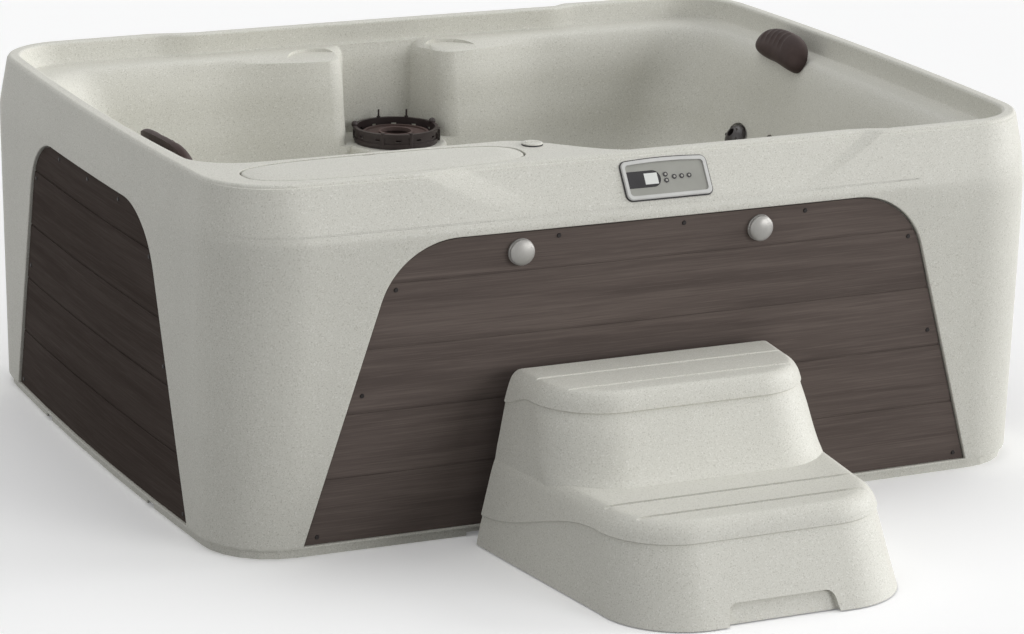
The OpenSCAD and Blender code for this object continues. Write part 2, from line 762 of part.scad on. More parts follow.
module lid_loft() {
    ring = function (g, z) [for (i = [0 : 47]) let (a = i * 7.5, c = cos(a), s = sin(a))
        [sign(c) * pow(abs(c), 0.62) * lid_half + g * c, sign(s) * pow(abs(s), 0.72) * lid_wide + g * s, z]];
    loft([ring(-2, 0), ring(0, 2), ring(0, lid_t - 3), ring(-1.5, lid_t - 0.8),
        ring(-5, lid_t), ring(-30, lid_t + 0.8 * lid_crown), ring(-55, lid_t + lid_crown)]);
}

bucket_t = 2.5;
module ice_bucket() {
    color([0.86, 0.86, 0.84])
    translate([lid_x, lid_y, tub_h - lid_seat])
    difference() {
        union() {
            linear_extrude(height = flange_t) lid_outline(lid_gap - 1);
            translate([0, 0, -bucket_d])
                linear_extrude(height = bucket_d + 1) lid_outline(-lid_ledge - 0.5);
        }
        translate([0, 0, bucket_t - bucket_d])
            linear_extrude(height = bucket_d + 20) lid_outline(-lid_ledge - 0.5 - bucket_t);
    }
}

// Control panel, from the face of the brow outwards
hole_l = ctl_l - 2 * bezel_w - 4;
hole_h = ctl_h - 2 * bezel_w - 4;
bezel_t = 6;
face_t = 3;
tab_l = 76;
tab_h = 36;
tab_x = tab_l / 2 + bezel_w + fit - ctl_l / 2;
button_row = [-1, -1, 18, 18 + button_pitch, 18 + 2 * button_pitch];
button_rise = [button_r + 1.5, -button_r - 1.5, 0, 0, 0];
housing_d = 36;

module control_bezel() {
    color([0.85, 0.85, 0.84])
    at_control() difference() {
        union() {
            soft_plate(ctl_l, ctl_h, 12, bezel_t - 1.5);
            soft_plate(ctl_l - 3, ctl_h - 3, 11, bezel_t);
        }
        translate([0, 0, -1]) soft_plate(ctl_l - 2 * bezel_w, ctl_h - 2 * bezel_w, 8, bezel_t + 2);
    }
}

module control_face() {
    color([0.62, 0.63, 0.60])
    at_control() difference() {
        soft_plate(ctl_l - 2 * (bezel_w + fit), ctl_h - 2 * (bezel_w + fit), 8 - fit, face_t);
        translate([tab_x, 0, face_t - 1]) tab_shape(0, 2, 3);
        for (i = [0 : 4]) translate([button_row[i], button_rise[i], -1])
            cylinder(r = button_r + turn_fit, h = face_t + 2);
    }
}

// The tab's outline drawn in by g, its square end run on
module tab_shape(g, t, run = 0) {
    linear_extrude(height = t) union() {
        translate([g - run - tab_l / 2, g - tab_h / 2])
            square([tab_l - tab_h / 2 - g + run, tab_h - 2 * g]);
        translate([tab_l / 2 - tab_h / 2, 0]) circle(r = tab_h / 2 - g, $fn = 48);
    }
}

window_l = 30;
window_h = 24;
window_x = 16;
module display_tab() {
    color(plastic_black)
    at_control() translate([tab_x, 0, face_t - 1]) difference() {
        tab_shape(0.2, 1.6);
        translate([window_x, 0, 1]) cube([window_l, window_h, 2], center = true);
    }
}

module display_window() {
    color([0.93, 0.94, 0.93])
    at_control() translate([tab_x + window_x, 0, face_t + 0.2])
        cube([window_l - fit, window_h - fit, 1.2], center = true);
}

module button(i) {
    color([0.16, 0.16, 0.17])
    at_control() translate([button_row[i], button_rise[i], 0]) {
        translate([0, 0, -button_travel - fit])
            cylinder(r = button_r, h = face_t + 1.6 + button_travel + fit);
        translate([0, 0, -button_travel - fit - 1.2]) cylinder(r = button_r + 1.4, h = 1.2);
    }
}

module button_up() {
    button(0);
}

module button_down() {
    button(1);
}

module button_jets() {
    button(2);
}

module button_light() {
    button(3);
}

module button_heat() {
    button(4);
}

module control_housing() {
    color(plastic_black)
    at_control() translate([0, 0, -housing_d]) difference() {
        soft_plate(hole_l - 2 * fit, hole_h - 2 * fit, 6, housing_d);
        translate([0, 0, 2]) soft_plate(hole_l - 2 * fit - 4, hole_h - 2 * fit - 4, 4, housing_d);
    }
}

module circuit_board() {
    color([0.12, 0.36, 0.20])
    at_control() {
        translate([0, 0, -12]) cube([hole_l - 8, hole_h - 16, 1.6], center = true);
        for (x = [-1, 1], y = [-1, 1])
            translate([x * (hole_l / 2 - 12), y * (hole_h / 2 - 14), -housing_d + 2])
                cylinder(r = 3, h = housing_d - 2 - 12.8);
        translate([tab_x + window_x, 0, -6.6]) cube([window_l, window_h, 9.2], center = true);
        for (i = [0 : 4]) translate([button_row[i], button_rise[i], -11.2])
            cylinder(r = 2.4, h = 11.2 - 2 * (button_travel + fit) - 1.2 - 0.4);
    }
}

// Latch knobs: a fixed base, a domed cap on a spindle, and a tongue behind the flange
knob_boss = 10;
base_h = 5;
cap_h = 14;
tongue_z = panel_in - rebate - skin_t - fit;
tongue_t = 4;
module knob_bases() {
    color(silver)
    for (i = [0, 1]) at_knob(i) difference() {
        union() {
            rotate_extrude($fn = 96)
                polygon([[0, seat_gap], [knob_r, seat_gap], [knob_r, base_h - 1.2],
                    [knob_r - 1.2, base_h], [0, base_h]]);
            translate([0, 0, -panel_t]) cylinder(r = knob_boss, h = panel_t + 1);
        }
        translate([0, 0, -panel_t - 1]) cylinder(r = spindle_r + turn_fit, h = panel_t + base_h + 2);
    }
}

module knob(i) {
    color(silver)
    at_knob(i) {
        translate([0, 0, base_h + fit]) rotate_extrude($fn = 96)
            polygon(concat([[0, 0], [knob_r - 2, 0], [knob_r - 0.6, 1]],
                [for (k = [0 : 12]) let (a = 90 * k / 12)
                    [max(0, (knob_r - 0.6) * cos(a)), 2.5 + (cap_h - 2.5) * sin(a)]]));
        translate([0, 0, tongue_z - tongue_t - 4])
            cylinder(r = spindle_r, h = base_h + 1 - tongue_z + tongue_t + 4);
    }
}

module knob_left() {
    knob(0);
}

module knob_right() {
    knob(1);
}

module latch(i) {
    color([0.55, 0.55, 0.57])
    at_knob(i) translate([0, 0, tongue_z - tongue_t]) difference() {
        union() {
            cylinder(r = 12, h = tongue_t);
            translate([-8, 0, 0]) cube([16, 34, tongue_t]);
            translate([0, 34, 0]) cylinder(r = 8, h = tongue_t);
            translate([0, 0, -3]) cylinder(r = 9, h = 3.5);
        }
        translate([0, 0, -5]) cylinder(r = spindle_r, h = 12);
    }
}

module latch_left() {
    latch(0);
}

module latch_right() {
    latch(1);
}

// Head pillow: stations along its length, each a closed ring of back and crowned front
ring_n = 10;
function pillow_hi(u) = pillow_tall * pow(max(0, 1 - pow(abs(u), 2.4)), 0.5) * (1 + 0.1 * u);
function pillow_lo(u) =
    -pillow_tall * pow(max(0, 1 - pow(abs(u), 2.6)), 0.5) * (0.72 + 0.36 * smooth(u + 0.5));
function rib_dip(u, v) = let (w = (u + 0.62 + 0.22 * pow(v + 0.3, 2)) / 0.9 * pillow_ribs)
    (w > 0 && w < pillow_ribs && abs(v) < 0.86) ? 2.2 * pow(sin(180 * w), 2) * (1 - pow(v / 0.86, 2)) : 0;
function pillow_ring(u) =
    let (hi = pillow_hi(u), lo = pillow_lo(u), mid = (hi + lo) / 2, half = max(0.5, (hi - lo) / 2),
        crown = pillow_t * pow(max(0.002, 1 - pow(abs(u), 3)), 0.45))
    concat([for (k = [0 : ring_n]) let (a = 180 * k / ring_n, v = -cos(a))
            [u * pillow_half, mid + half * v,
                2 + (crown - 2) * pow(sin(a), 0.62) * (1 - 0.1 * v) - rib_dip(u, v)]],
        [for (k = [1 : 3]) let (v = 1 - k / 2) [u * pillow_half, mid + half * 0.86 * v, 0]]);

module pillow() {
    stations = [for (i = [0 : 40]) let (t = i / 20 - 1) sign(t) * (1 - pow(1 - abs(t), 1.35)) * 0.995];
    rings = [for (u = stations) pillow_ring(u)];
    n = len(rings[0]);
    polyhedron(points = [for (r = rings) each r],
        faces = concat([[for (i = [n - 1 : -1 : 0]) i]],
            [for (k = [0 : len(rings) - 2], i = [0 : n - 1], half = [0, 1])
                let (a = k * n + i, b = k * n + (i + 1) % n)
                half == 0 ? [a, b, b + n] : [a, b + n, a + n]],
            [[for (i = [0 : n - 1]) (len(rings) - 1) * n + i]]));
}

module pillow_right() {
    color(trim_brown) at_pillow() pillow();
}

module pillow_left() {
    color(trim_brown) at_pillow(true) pillow();
}

module pillow_pegs() {
    color(plastic_black)
    for (left = [false, true], s = [-1, 1])
        at_pillow(left) translate([s * peg_x, 0, -20]) cylinder(r = peg_r, h = 20);
}

// Filter: a canister hung in the pedestal, a lifting cartridge, and a guard ring over it
canister_t = 3;
module filter_canister() {
    color(trim_brown)
    translate([0, filter_y, pedestal_z - canister_d]) difference() {
        union() {
            cylinder(r = canister_r, h = canister_d + 1);
            translate([0, 0, canister_d]) cylinder(r = guard_r - 2, h = 5);
            translate([0, 0, -18]) cylinder(r = pipe_r, h = 19);
        }
        translate([0, 0, canister_t]) cylinder(r = canister_r - canister_t, h = canister_d + 10);
        translate([0, 0, -20]) cylinder(r = pipe_r - 4, h = 30);
    }
}

guard_z = pedestal_z + 5 + fit;
guard_posts = [[5, 2], [52, 1], [92, 1], [155, 2], [228, 0], [268, 0]]; // turn and kind
lug_turns = [-25, 130];
module filter_guard() {
    color(trim_brown)
    translate([0, filter_y, guard_z]) {
        difference() {
            union() {
                cylinder(r = guard_r - 3, h = guard_h - 1);
                cylinder(r = guard_r, h = 7);
                translate([0, 0, guard_h - 8]) cylinder(r = guard_r, h = 8);
            }
            translate([0, 0, -1]) cylinder(r = guard_r - 8, h = guard_h + 2);
            for (k = [0 : 11]) rotate([0, 0, 10 + 30 * k])
                translate([guard_r - 12, -6, guard_h / 2 - 3]) cube([20, 12, 5]);
        }
        for (p = guard_posts) rotate([0, 0, p[0]]) translate([guard_r - 3, 0, 0]) {
            cylinder(r = 4.5, h = guard_h + 3);
            if (p[1] == 1) translate([0, 0, guard_h]) cylinder(r = 2.2, h = fin_h - guard_h);
            if (p[1] == 2) translate([0, 0, guard_h + 2]) sphere(r = 8);
        }
        for (a = lug_turns) rotate([0, 0, a]) translate([guard_r - 2, -13, 0]) cube([6, 26, guard_h - 4]);
    }
}

cart_z = pedestal_z + 21;
module filter_cartridge() {
    color([0.28, 0.22, 0.20])
    translate([0, filter_y, 0]) {
        translate([0, 0, pedestal_z - canister_d + canister_t + 4]) difference() {
            cylinder(r = cartridge_r - 6, h = cart_z - pedestal_z + canister_d - canister_t - 8);
            translate([0, 0, -1]) cylinder(r = cartridge_r - 34, h = 300);
            for (k = [0 : 23]) rotate([0, 0, 15 * k]) translate([cartridge_r - 12, -1.5, 8])
                cube([10, 3, cart_z - pedestal_z + canister_d - canister_t - 24]);
        }
        translate([0, 0, pedestal_z - canister_d + canister_t + fit]) difference() {
            cylinder(r = cartridge_r - 4, h = 5);
            translate([0, 0, -1]) cylinder(r = cartridge_r - 34, h = 8);
        }
        translate([0, 0, cart_z - 5]) difference() {
            cylinder(r = cartridge_r, h = 7);
            translate([0, 0, 3]) cylinder(r = cartridge_r - 6, h = 5);
            translate([0, 0, -1]) cylinder(r = 38, h = 8);
        }
        translate([0, 0, cart_z - 5]) difference() {
            cylinder(r = 41, h = 9);
            translate([0, 0, -1]) cylinder(r = 36, h = 12);
        }
    }
}

// Hydrotherapy jets: a threaded body with its nut, and a turning face with an off-centre nozzle
face_gap = 0.3;
nut_gap = 4;
module jet_body(r, bore) {
    difference() {
        union() {
            cylinder(r = r, h = 3);
            translate([0, 0, -48]) cylinder(r = bore, h = 49);
            translate([0, 0, -skin_t - nut_gap - 10]) cylinder(r = bore + 8, h = 10, $fn = 6);
        }
        translate([0, 0, -44]) cylinder(r = bore - 3, h = 60);
    }
}

module jet_face(r, bore, dome) {
    difference() {
        union() {
            translate([0, 0, 3 + face_gap]) rotate_extrude($fn = 72)
                polygon(concat([[0, 0], [r - 3, 0], [r - 2, 1]],
                    [for (k = [0 : 10]) let (a = 90 * k / 10)
                        [max(0, (r - 2) * cos(a)), 3 + dome * sin(a)]]));
            translate([0, 0, -26]) cylinder(r = bore - 3 - turn_fit, h = 30);
            for (k = [0 : 5]) rotate([0, 0, 60 * k + 30]) translate([r * 0.62, 0, 3 + face_gap + 2])
                cylinder(r = r * 0.11, h = dome * 0.8);
        }
        translate([r * 0.25, 0, -40]) cylinder(r = bore * 0.42, h = 90);
    }
}

module jet_bodies() {
    color(silver)
    for (left = [false, true]) at_jet(jet_y, jet_z, left) jet_body(jet_r, jet_bore);
}

module jet_face_right() {
    color(plastic_black) at_jet(jet_y, jet_z) jet_face(jet_r, jet_bore, 23);
}

module jet_face_left() {
    color(plastic_black) at_jet(jet_y, jet_z, true) jet_face(jet_r, jet_bore, 23);
}

module nozzle_bodies() {
    color(silver)
    for (left = [false, true]) at_jet(nozzle_y, nozzle_z, left) jet_body(nozzle_r, nozzle_bore);
}

module nozzle_face_right() {
    color(plastic_black) at_jet(nozzle_y, nozzle_z) jet_face(nozzle_r, nozzle_bore, 9);
}

module nozzle_face_left() {
    color(plastic_black) at_jet(nozzle_y, nozzle_z, true) jet_face(nozzle_r, nozzle_bore, 9);
}

module air_valve_body() {
    color(plastic_black)
    translate([air_x, air_y, tub_h]) difference() {
        union() {
            cylinder(r = 22, h = 2);
            translate([0, 0, -42]) cylinder(r = air_r, h = 43);
            translate([0, 0, -skin_t - 8]) cylinder(r = air_r + 6, h = 8, $fn = 6);
        }
        translate([0, 0, -36]) cylinder(r = air_r - 4, h = 60);
    }
}

module air_valve_knob() {
    color(shell_grey)
    translate([air_x, air_y, tub_h + 2 + fit]) {
        rotate_extrude($fn = 72)
            polygon([[0, 0], [21, 0], [22, 1], [21.6, 2.6], [19, 3.6], [8, 4], [0, 4.1]]);
        translate([0, 0, -22]) cylinder(r = air_r - 4 - turn_fit, h = 23);
        translate([-15, -2.2, 3]) cube([30, 4.4, 2.6]);
    }
}

module well_fitting(tail) {
    difference() {
        union() {
            cylinder(r = cover_r, h = 4);
            translate([0, 0, -tail]) cylinder(r = fitting_r, h = tail + 1);
            translate([0, 0, -skin_t - 9]) cylinder(r = fitting_r + 9, h = 9, $fn = 6);
        }
        translate([0, 0, -tail - 1]) cylinder(r = fitting_r - 4, h = tail + 8);
    }
}

module suction_cover() {
    color(trim_brown)
    at_well(suction_x) {
        well_fitting(suction_tail);
        translate([0, 0, 3.5]) difference() {
            cylinder(r = cover_r - 2, h = 8);
            translate([0, 0, -1]) cylinder(r = cover_r - 6, h = 6);
            for (k = [0 : 9]) rotate([0, 0, 36 * k]) translate([26, 0, -1]) cylinder(r = 4, h = 12);
            for (k = [0 : 5]) rotate([0, 0, 60 * k]) translate([12, 0, -1]) cylinder(r = 4, h = 12);
        }
    }
}

module light_housing() {
    color(plastic_black)
    at_well(-suction_x) difference() {
        union() {
            well_fitting(40);
            translate([0, 0, -40]) cylinder(r = fitting_r, h = 3);
        }
        translate([0, 0, 2]) cylinder(r = cover_r - 4, h = 4);
    }
}

module light_lens() {
    color([0.9, 0.93, 0.95])
    at_well(-suction_x) translate([0, 0, 2]) rotate_extrude($fn = 72)
        polygon(concat([[0, 0], [cover_r - 4.2, 0], [cover_r - 4.2, 2]],
            [for (k = [0 : 8]) let (a = 90 * k / 8) [max(0, (cover_r - 5) * cos(a)), 2 + 6 * sin(a)]]));
}

// Pump: the shaft runs along X; the volute's mouth faces +X and its outlet goes up
pump_x = 20;
pump_y = -540;
volute_w = 60;
module at_pump() {
    translate([pump_x, pump_y, well_mid_z]) rotate([0, 90, 0]) children();
}
outlet_in = volute_r - pipe_r - 1;
outlet_h = 92;
elbow_r = 36;

module pump_volute() {
    color(plastic_black)
    difference() {
        union() {
            at_pump() {
                translate([0, 0, -volute_w / 2]) cylinder(r = volute_r, h = volute_w);
                translate([0, 0, volute_w / 2 - 1]) cylinder(r = pipe_r + 6, h = 13);
            }
            translate([pump_x, pump_y - outlet_in, well_mid_z]) cylinder(r = pipe_r, h = outlet_h);
        }
        at_pump() {
            translate([0, 0, 6 - volute_w / 2]) cylinder(r = volute_r - 8, h = volute_w - 12);
            translate([0, 0, volute_w / 2 - 20]) cylinder(r = pipe_r - 4, h = 60);
            translate([0, 0, -volute_w]) cylinder(r = shaft_r + turn_fit, h = volute_w);
        }
        translate([pump_x, pump_y - outlet_in, well_mid_z]) cylinder(r = pipe_r - 4, h = 120);
    }
}

motor_gap = 12;
motor_at = -volute_w / 2 - motor_gap;
module pump_motor() {
    color([0.22, 0.24, 0.27])
    at_pump() difference() {
        union() {
            translate([0, 0, motor_at - motor_l]) cylinder(r = motor_r, h = motor_l);
            translate([0, 0, motor_at - 1]) cylinder(r = motor_r - 16, h = motor_gap + 1);
            for (k = [-4 : 4]) rotate([0, 0, 180 + 13 * k])
                translate([motor_r - 3, -1.5, motor_at - motor_l + 20]) cube([10, 3, motor_l - 40]);
        }
        translate([0, 0, motor_at - motor_l + 10]) cylinder(r = motor_r - 12, h = motor_l - 20);
        translate([0, 0, motor_at - motor_l + 4]) cylinder(r = shaft_r + turn_fit, h = motor_l + 40);
    }
}

module pump_rotor() {
    color([0.62, 0.62, 0.64])
    at_pump() {
        translate([0, 0, motor_at - motor_l + 5])
            cylinder(r = shaft_r, h = motor_l + motor_gap + volute_w / 2 - 5 + 4);
        translate([0, 0, motor_at - motor_l + 40]) cylinder(r = motor_r - 22, h = motor_l - 80);
        translate([0, 0, 2]) cylinder(r = volute_r - 26, h = 3);
        difference() {
            translate([0, 0, 4]) for (k = [0 : 5]) rotate([0, 0, 60 * k])
                translate([18, -2, 0]) rotate([0, 0, 20]) cube([36, 4, 14]);
            translate([0, 0, 4]) cylinder(r = 16, h = 20);
        }
    }
}

foot_l = 130;
module pump_foot() {
    color(plastic_black)
    difference() {
        translate([pump_x + motor_at - motor_l / 2 - foot_l / 2, pump_y - 50, wall_z])
            cube([foot_l, 100, well_mid_z - motor_r * 0.75 - wall_z]);
        at_pump() translate([0, 0, motor_at - motor_l - 10]) cylinder(r = motor_r, h = motor_l + 20);
        translate([pump_x + motor_at - motor_l / 2 - foot_l / 2 + 8, pump_y - 60, wall_z + 8])
            cube([foot_l - 16, 120, well_mid_z - motor_r - wall_z - 22]);
    }
}

// A quarter bend of pipe in the XY plane, from the -Y axis side to the -X direction
module bend(r) {
    rotate_extrude(angle = 90, $fn = 48) translate([r, 0]) difference() {
        circle(r = pipe_r, $fn = 40);
        circle(r = pipe_r - 4, $fn = 40);
    }
}

module pipe(l) {
    difference() {
        cylinder(r = pipe_r, h = l);
        translate([0, 0, -1]) cylinder(r = pipe_r - 4, h = l + 2);
    }
}

bend_r = 45;
suction_mouth = pump_x + volute_w / 2 + 12;
suction_tail = 24;
module suction_pipe() {
    color(pipe_white) {
        y0 = -cave_face_y(suction_x, well_mid_z) - well_sink - suction_tail;
        translate([suction_x, y0, well_mid_z]) rotate([90, 0, 0]) pipe(y0 - pump_y - bend_r);
        translate([suction_x - bend_r, pump_y + bend_r, well_mid_z]) rotate([0, 0, 270]) bend(bend_r);
        translate([suction_mouth, pump_y, well_mid_z])
            rotate([0, 90, 0]) pipe(suction_x - bend_r - suction_mouth);
    }
}

heater_z = well_mid_z + outlet_h + elbow_r;
heater_l = 380;
heater_x = pump_x - elbow_r;
heater_y = pump_y - outlet_in;
module heater_tube() {
    color([0.74, 0.75, 0.76])
    translate([heater_x, heater_y, heater_z]) rotate([0, -90, 0]) difference() {
        union() {
            cylinder(r = heater_r, h = heater_l);
            cylinder(r = heater_r + 5, h = 10);
            translate([0, 0, heater_l - 10]) cylinder(r = heater_r + 5, h = 10);
            for (z = [120, 260]) translate([4 - heater_r, 0, z])
                rotate([0, -90, 0]) cylinder(r = 9, h = 14);
        }
        translate([0, 0, 6]) cylinder(r = heater_r - 2, h = heater_l - 12);
        translate([0, 0, -1]) cylinder(r = pipe_r - 4, h = heater_l + 2);
    }
}

module return_pipe() {
    color(pipe_white) {
        translate([heater_x, heater_y, heater_z - elbow_r]) rotate([90, 0, 0]) bend(elbow_r);
        translate([heater_x - heater_l, heater_y, heater_z + bend_r])
            rotate([90, 0, 0]) rotate([0, 0, 180]) bend(bend_r);
        translate([heater_x - heater_l - bend_r, heater_y, heater_z + bend_r]) pipe(90);
        translate([heater_x - heater_l - bend_r, heater_y, heater_z + bend_r + 90]) difference() {
            union() {
                cylinder(r = pipe_r + 8, h = 60);
                for (k = [0 : 3]) rotate([0, 0, 45 + 90 * k]) translate([0, 0, 30]) rotate([0, 90, 0])
                    cylinder(r = 9, h = pipe_r + 34);
            }
            translate([0, 0, -1]) cylinder(r = pipe_r - 4, h = 55);
            for (k = [0 : 3]) rotate([0, 0, 45 + 90 * k]) translate([0, 0, 30]) rotate([0, 90, 0])
                cylinder(r = 6, h = pipe_r + 40);
        }
    }
}

box_l = 240;
box_w = 84;
box_h = 210;
box_x = -540;
box_y = -735;
module equipment_box() {
    color([0.50, 0.52, 0.54])
    translate([box_x, box_y, wall_z]) difference() {
        cube([box_l, box_w, box_h]);
        translate([4, -1, 4]) cube([box_l - 8, box_w - 3, box_h - 8]);
        for (x = [40, 90]) translate([x, box_w / 2, box_h - 10]) cylinder(r = 10, h = 20);
    }
}

module equipment_box_cover() {
    color([0.36, 0.38, 0.40])
    translate([box_x, box_y - 4, wall_z]) union() {
        translate([0, 0, 2]) cube([box_l, 4, box_h - 4]);
        translate([5, 3, 6]) cube([box_l - 10, 4, box_h - 12]);
        for (x = [10, box_l - 10], z = [12, box_h - 12])
            translate([x, 0, z]) rotate([90, 0, 0]) cylinder(r = 4, h = 2);
    }
}

// Drain spigot and cord gland, through the foot of the back panel
drain_x = -560;
drain_z = 92;
drain_r = 13;
drain_neck = 16;
hose_r = 12;           // the end that a garden hose's coupling slides onto
collar_t = 10;
collar_top = 4 + 2 * fit + collar_t;
gland_neck = 12;
module at_drain() {
    rotate([0, 0, 180]) on_long(drain_x, drain_z, 0, panel_in) children();
}

module drain_outlet() {
    color(plastic_black)
    at_drain() difference() {
        union() {
            translate([0, 0, seat_gap]) cylinder(r = 26, h = 4 - seat_gap);
            translate([0, 0, -panel_t - 20]) cylinder(r = drain_neck, h = panel_t + 21);
            translate([0, 0, -panel_t - 6 - seat_gap]) cylinder(r = drain_neck + 8, h = 6, $fn = 6);
            cylinder(r = drain_r, h = collar_top);
            cylinder(r = hose_r, h = 30);
        }
        translate([0, 0, -panel_t - 21]) cylinder(r = drain_r - 5, h = 60);
    }
}

module drain_collar() {
    color(silver)
    at_drain() translate([0, 0, 4 + fit]) difference() {
        union() {
            cylinder(r = drain_r + 6, h = collar_t);
            for (k = [0 : 3]) rotate([0, 0, 90 * k]) translate([drain_r + 6, 0, 0])
                cylinder(r = 3, h = collar_t);
        }
        translate([0, 0, -1]) cylinder(r = drain_r + turn_fit, h = collar_t + 2);
    }
}

module cord_inlet() {
    color(plastic_black)
    rotate([0, 0, 180]) on_long(-drain_x, drain_z, 0, panel_in) difference() {
        union() {
            translate([0, 0, seat_gap]) cylinder(r = 19, h = 4 - seat_gap, $fn = 6);
            translate([0, 0, -panel_t - 14]) cylinder(r = gland_neck, h = panel_t + 15);
            translate([0, 0, -panel_t - 6 - seat_gap]) cylinder(r = gland_neck + 7, h = 6, $fn = 6);
            translate([0, 0, 4]) cylinder(r1 = 15, r2 = 10, h = 16);
        }
        translate([0, 0, -panel_t - 15]) cylinder(r = 6.5, h = 60);
    }
}

// Step, in its own frame: the back foot at y = 0, the treads towards -Y
step_taper = 0.11;
step_lean = 0.15;
lip_out = 15;
function step_ring(z_front, z_back, foot, deep, r, d) =
    let (s1 = deep - d - (r - d), zs = function (s) z_back + (z_front - z_back) * smooth(s / s1),
        side = function (s) foot - d - step_taper * s - step_lean * zs(s),
        rr = r - d, cx = side(s1) - rr, n = 8)
    concat(
        [[side(d), -d, zs(0)], [-side(d), -d, zs(0)]],
        [for (k = [1 : 4]) let (s = s1 * k / 4.6) [-side(s), -s, zs(s)]],
        [for (k = [0 : n]) let (a = 180 + 90 * k / n) [-cx + rr * cos(a), -s1 + rr * sin(a), z_front]],
        [for (k = [0 : n]) let (a = 270 + 90 * k / n) [cx + rr * cos(a), -s1 + rr * sin(a), z_front]],
        [for (k = [4 : -1 : 1]) let (s = s1 * k / 4.6) [side(s), -s, zs(s)]]);

lip_low = tread_low - 40;
lip_top = tread_top - 39;
module step_form(d) {
    base = d > 0 ? -20 : step_pad;
    loft([step_ring(base, base, step_half + 2, step_deep, step_r, d),
        step_ring(lip_low - 3, 62, step_half + 2 - 3, step_deep - 76, step_r - 14, d),
        step_ring(lip_low - d, 66 - d, step_half + 2, step_deep - 74, step_r - 14, d),
        step_ring(tread_low - 13 - d, tread_low - 13 - d, step_half - 12, step_deep - 86, step_r - 24, d),
        step_ring(tread_low - 3 - d, tread_low - 3 - d, step_half - 26, step_deep - 98, step_r - 34, d),
        step_ring(tread_low - d, tread_low - d, step_half - 36, step_deep - 108, step_r - 42, d)]);
    loft([step_ring(min(base, 60), min(base, 60), step_half - 10, top_deep + 160, step_r - 10, d),
        step_ring(tread_low - 30, tread_low - 30, step_half - 10, top_deep + 116, step_r - 12, d),
        step_ring(tread_low + 8, tread_low + 8, step_half - 10, top_deep + 84, step_r - 14, d),
        step_ring(lip_top - 3, lip_top - 28, step_half - 13, top_deep + 6, step_r - 22, d),
        step_ring(lip_top - d, lip_top - 25 - d, step_half - 10, top_deep + 9, step_r - 20, d),
        step_ring(tread_top - 13 - d, tread_top - 13 - d, step_half - 18, top_deep, step_r - 30, d),
        step_ring(tread_top - 3 - d, tread_top - 3 - d, step_half - 27, top_deep - 10, step_r - 40, d),
        step_ring(tread_top - d, tread_top - d, step_half - 36, top_deep - 20, step_r - 48, d)]);
}

step_pad = 3;
grip_half = 122;
grip_h = 42;
step_y = -tub_w / 2 - step_gap;
module at_step() {
    translate([step_x, step_y, 0]) children();
}

// The hand hold's block in the step's front, grown by g
module grip_block(g) {
    translate([0, -step_deep + 110, 0]) rotate([90, 0, 0]) linear_extrude(height = 160) hull() {
        translate([-grip_half - g, -10]) square([2 * (grip_half + g), 12]);
        for (s = [-1, 1]) translate([s * (grip_half - 24), grip_h - 20]) circle(r = 20 + g, $fn = 32);
    }
}

// A groove across a tread
module tread_line(y, z, half) {
    hull() for (s = [-1, 1]) translate([s * half, y, z + 1]) scale([1, 4, 4]) sphere(r = 1, $fn = 12);
}

module step_body() {
    color(shell_grey)
    at_step() difference() {
        step_form(0);
        difference() {
            step_form(step_t);
            grip_block(step_t);
        }
        intersection() {
            step_form(step_t + 4);
            grip_block(step_t + 1);
        }
        difference() {
            grip_block(0);
            step_form(4);
        }
        for (y = [80, 180]) tread_line(-y, tread_top, 262);
        for (y = [400, 500]) tread_line(-y, tread_low, 250);
        for (s = [-1, 1]) hull() for (y = [-90, -300])
            translate([s * (step_half - 20), y, step_pad])
                rotate([0, 90, 0]) cylinder(r = 5, h = 160, center = true, $fn = 12);
        for (s = [-1, 1]) hull() for (x = [120, 260])
            translate([s * x, 0, step_pad])
                rotate([90, 0, 0]) cylinder(r = 5, h = 40, center = true, $fn = 12);
    }
}

module step_pads() {
    color(plastic_black)
    at_step() for (s = [-1, 1], p = [[step_half - 14, -30], [step_half - 58, -360]])
        translate([s * p[0], p[1], 0]) cylinder(r = 9, h = step_pad);
}

tub_shell();
base_pan();
front_panel();
back_panel();
left_panel();
right_panel();
panel_screws();
insulation_boards();
well_support();
bar_lid();
ice_bucket();
control_bezel();
control_face();
display_tab();
display_window();
button_up();
button_down();
button_jets();
button_light();
button_heat();
control_housing();
circuit_board();
knob_bases();
knob_left();
knob_right();
latch_left();
latch_right();
pillow_right();
pillow_left();
pillow_pegs();
filter_canister();
filter_guard();
filter_cartridge();
jet_bodies();
jet_face_right();
jet_face_left();
nozzle_bodies();
nozzle_face_right();
nozzle_face_left();
air_valve_body();
air_valve_knob();
suction_cover();
light_housing();
light_lens();
pump_motor();
pump_volute();
pump_rotor();
pump_foot();
heater_tube();
suction_pipe();
return_pipe();
equipment_box();
equipment_box_cover();
drain_outlet();
drain_collar();
cord_inlet();
step_body();
step_pads();
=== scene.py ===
import math
import bpy
import bmesh
import numpy as np
from mathutils import Matrix, Vector


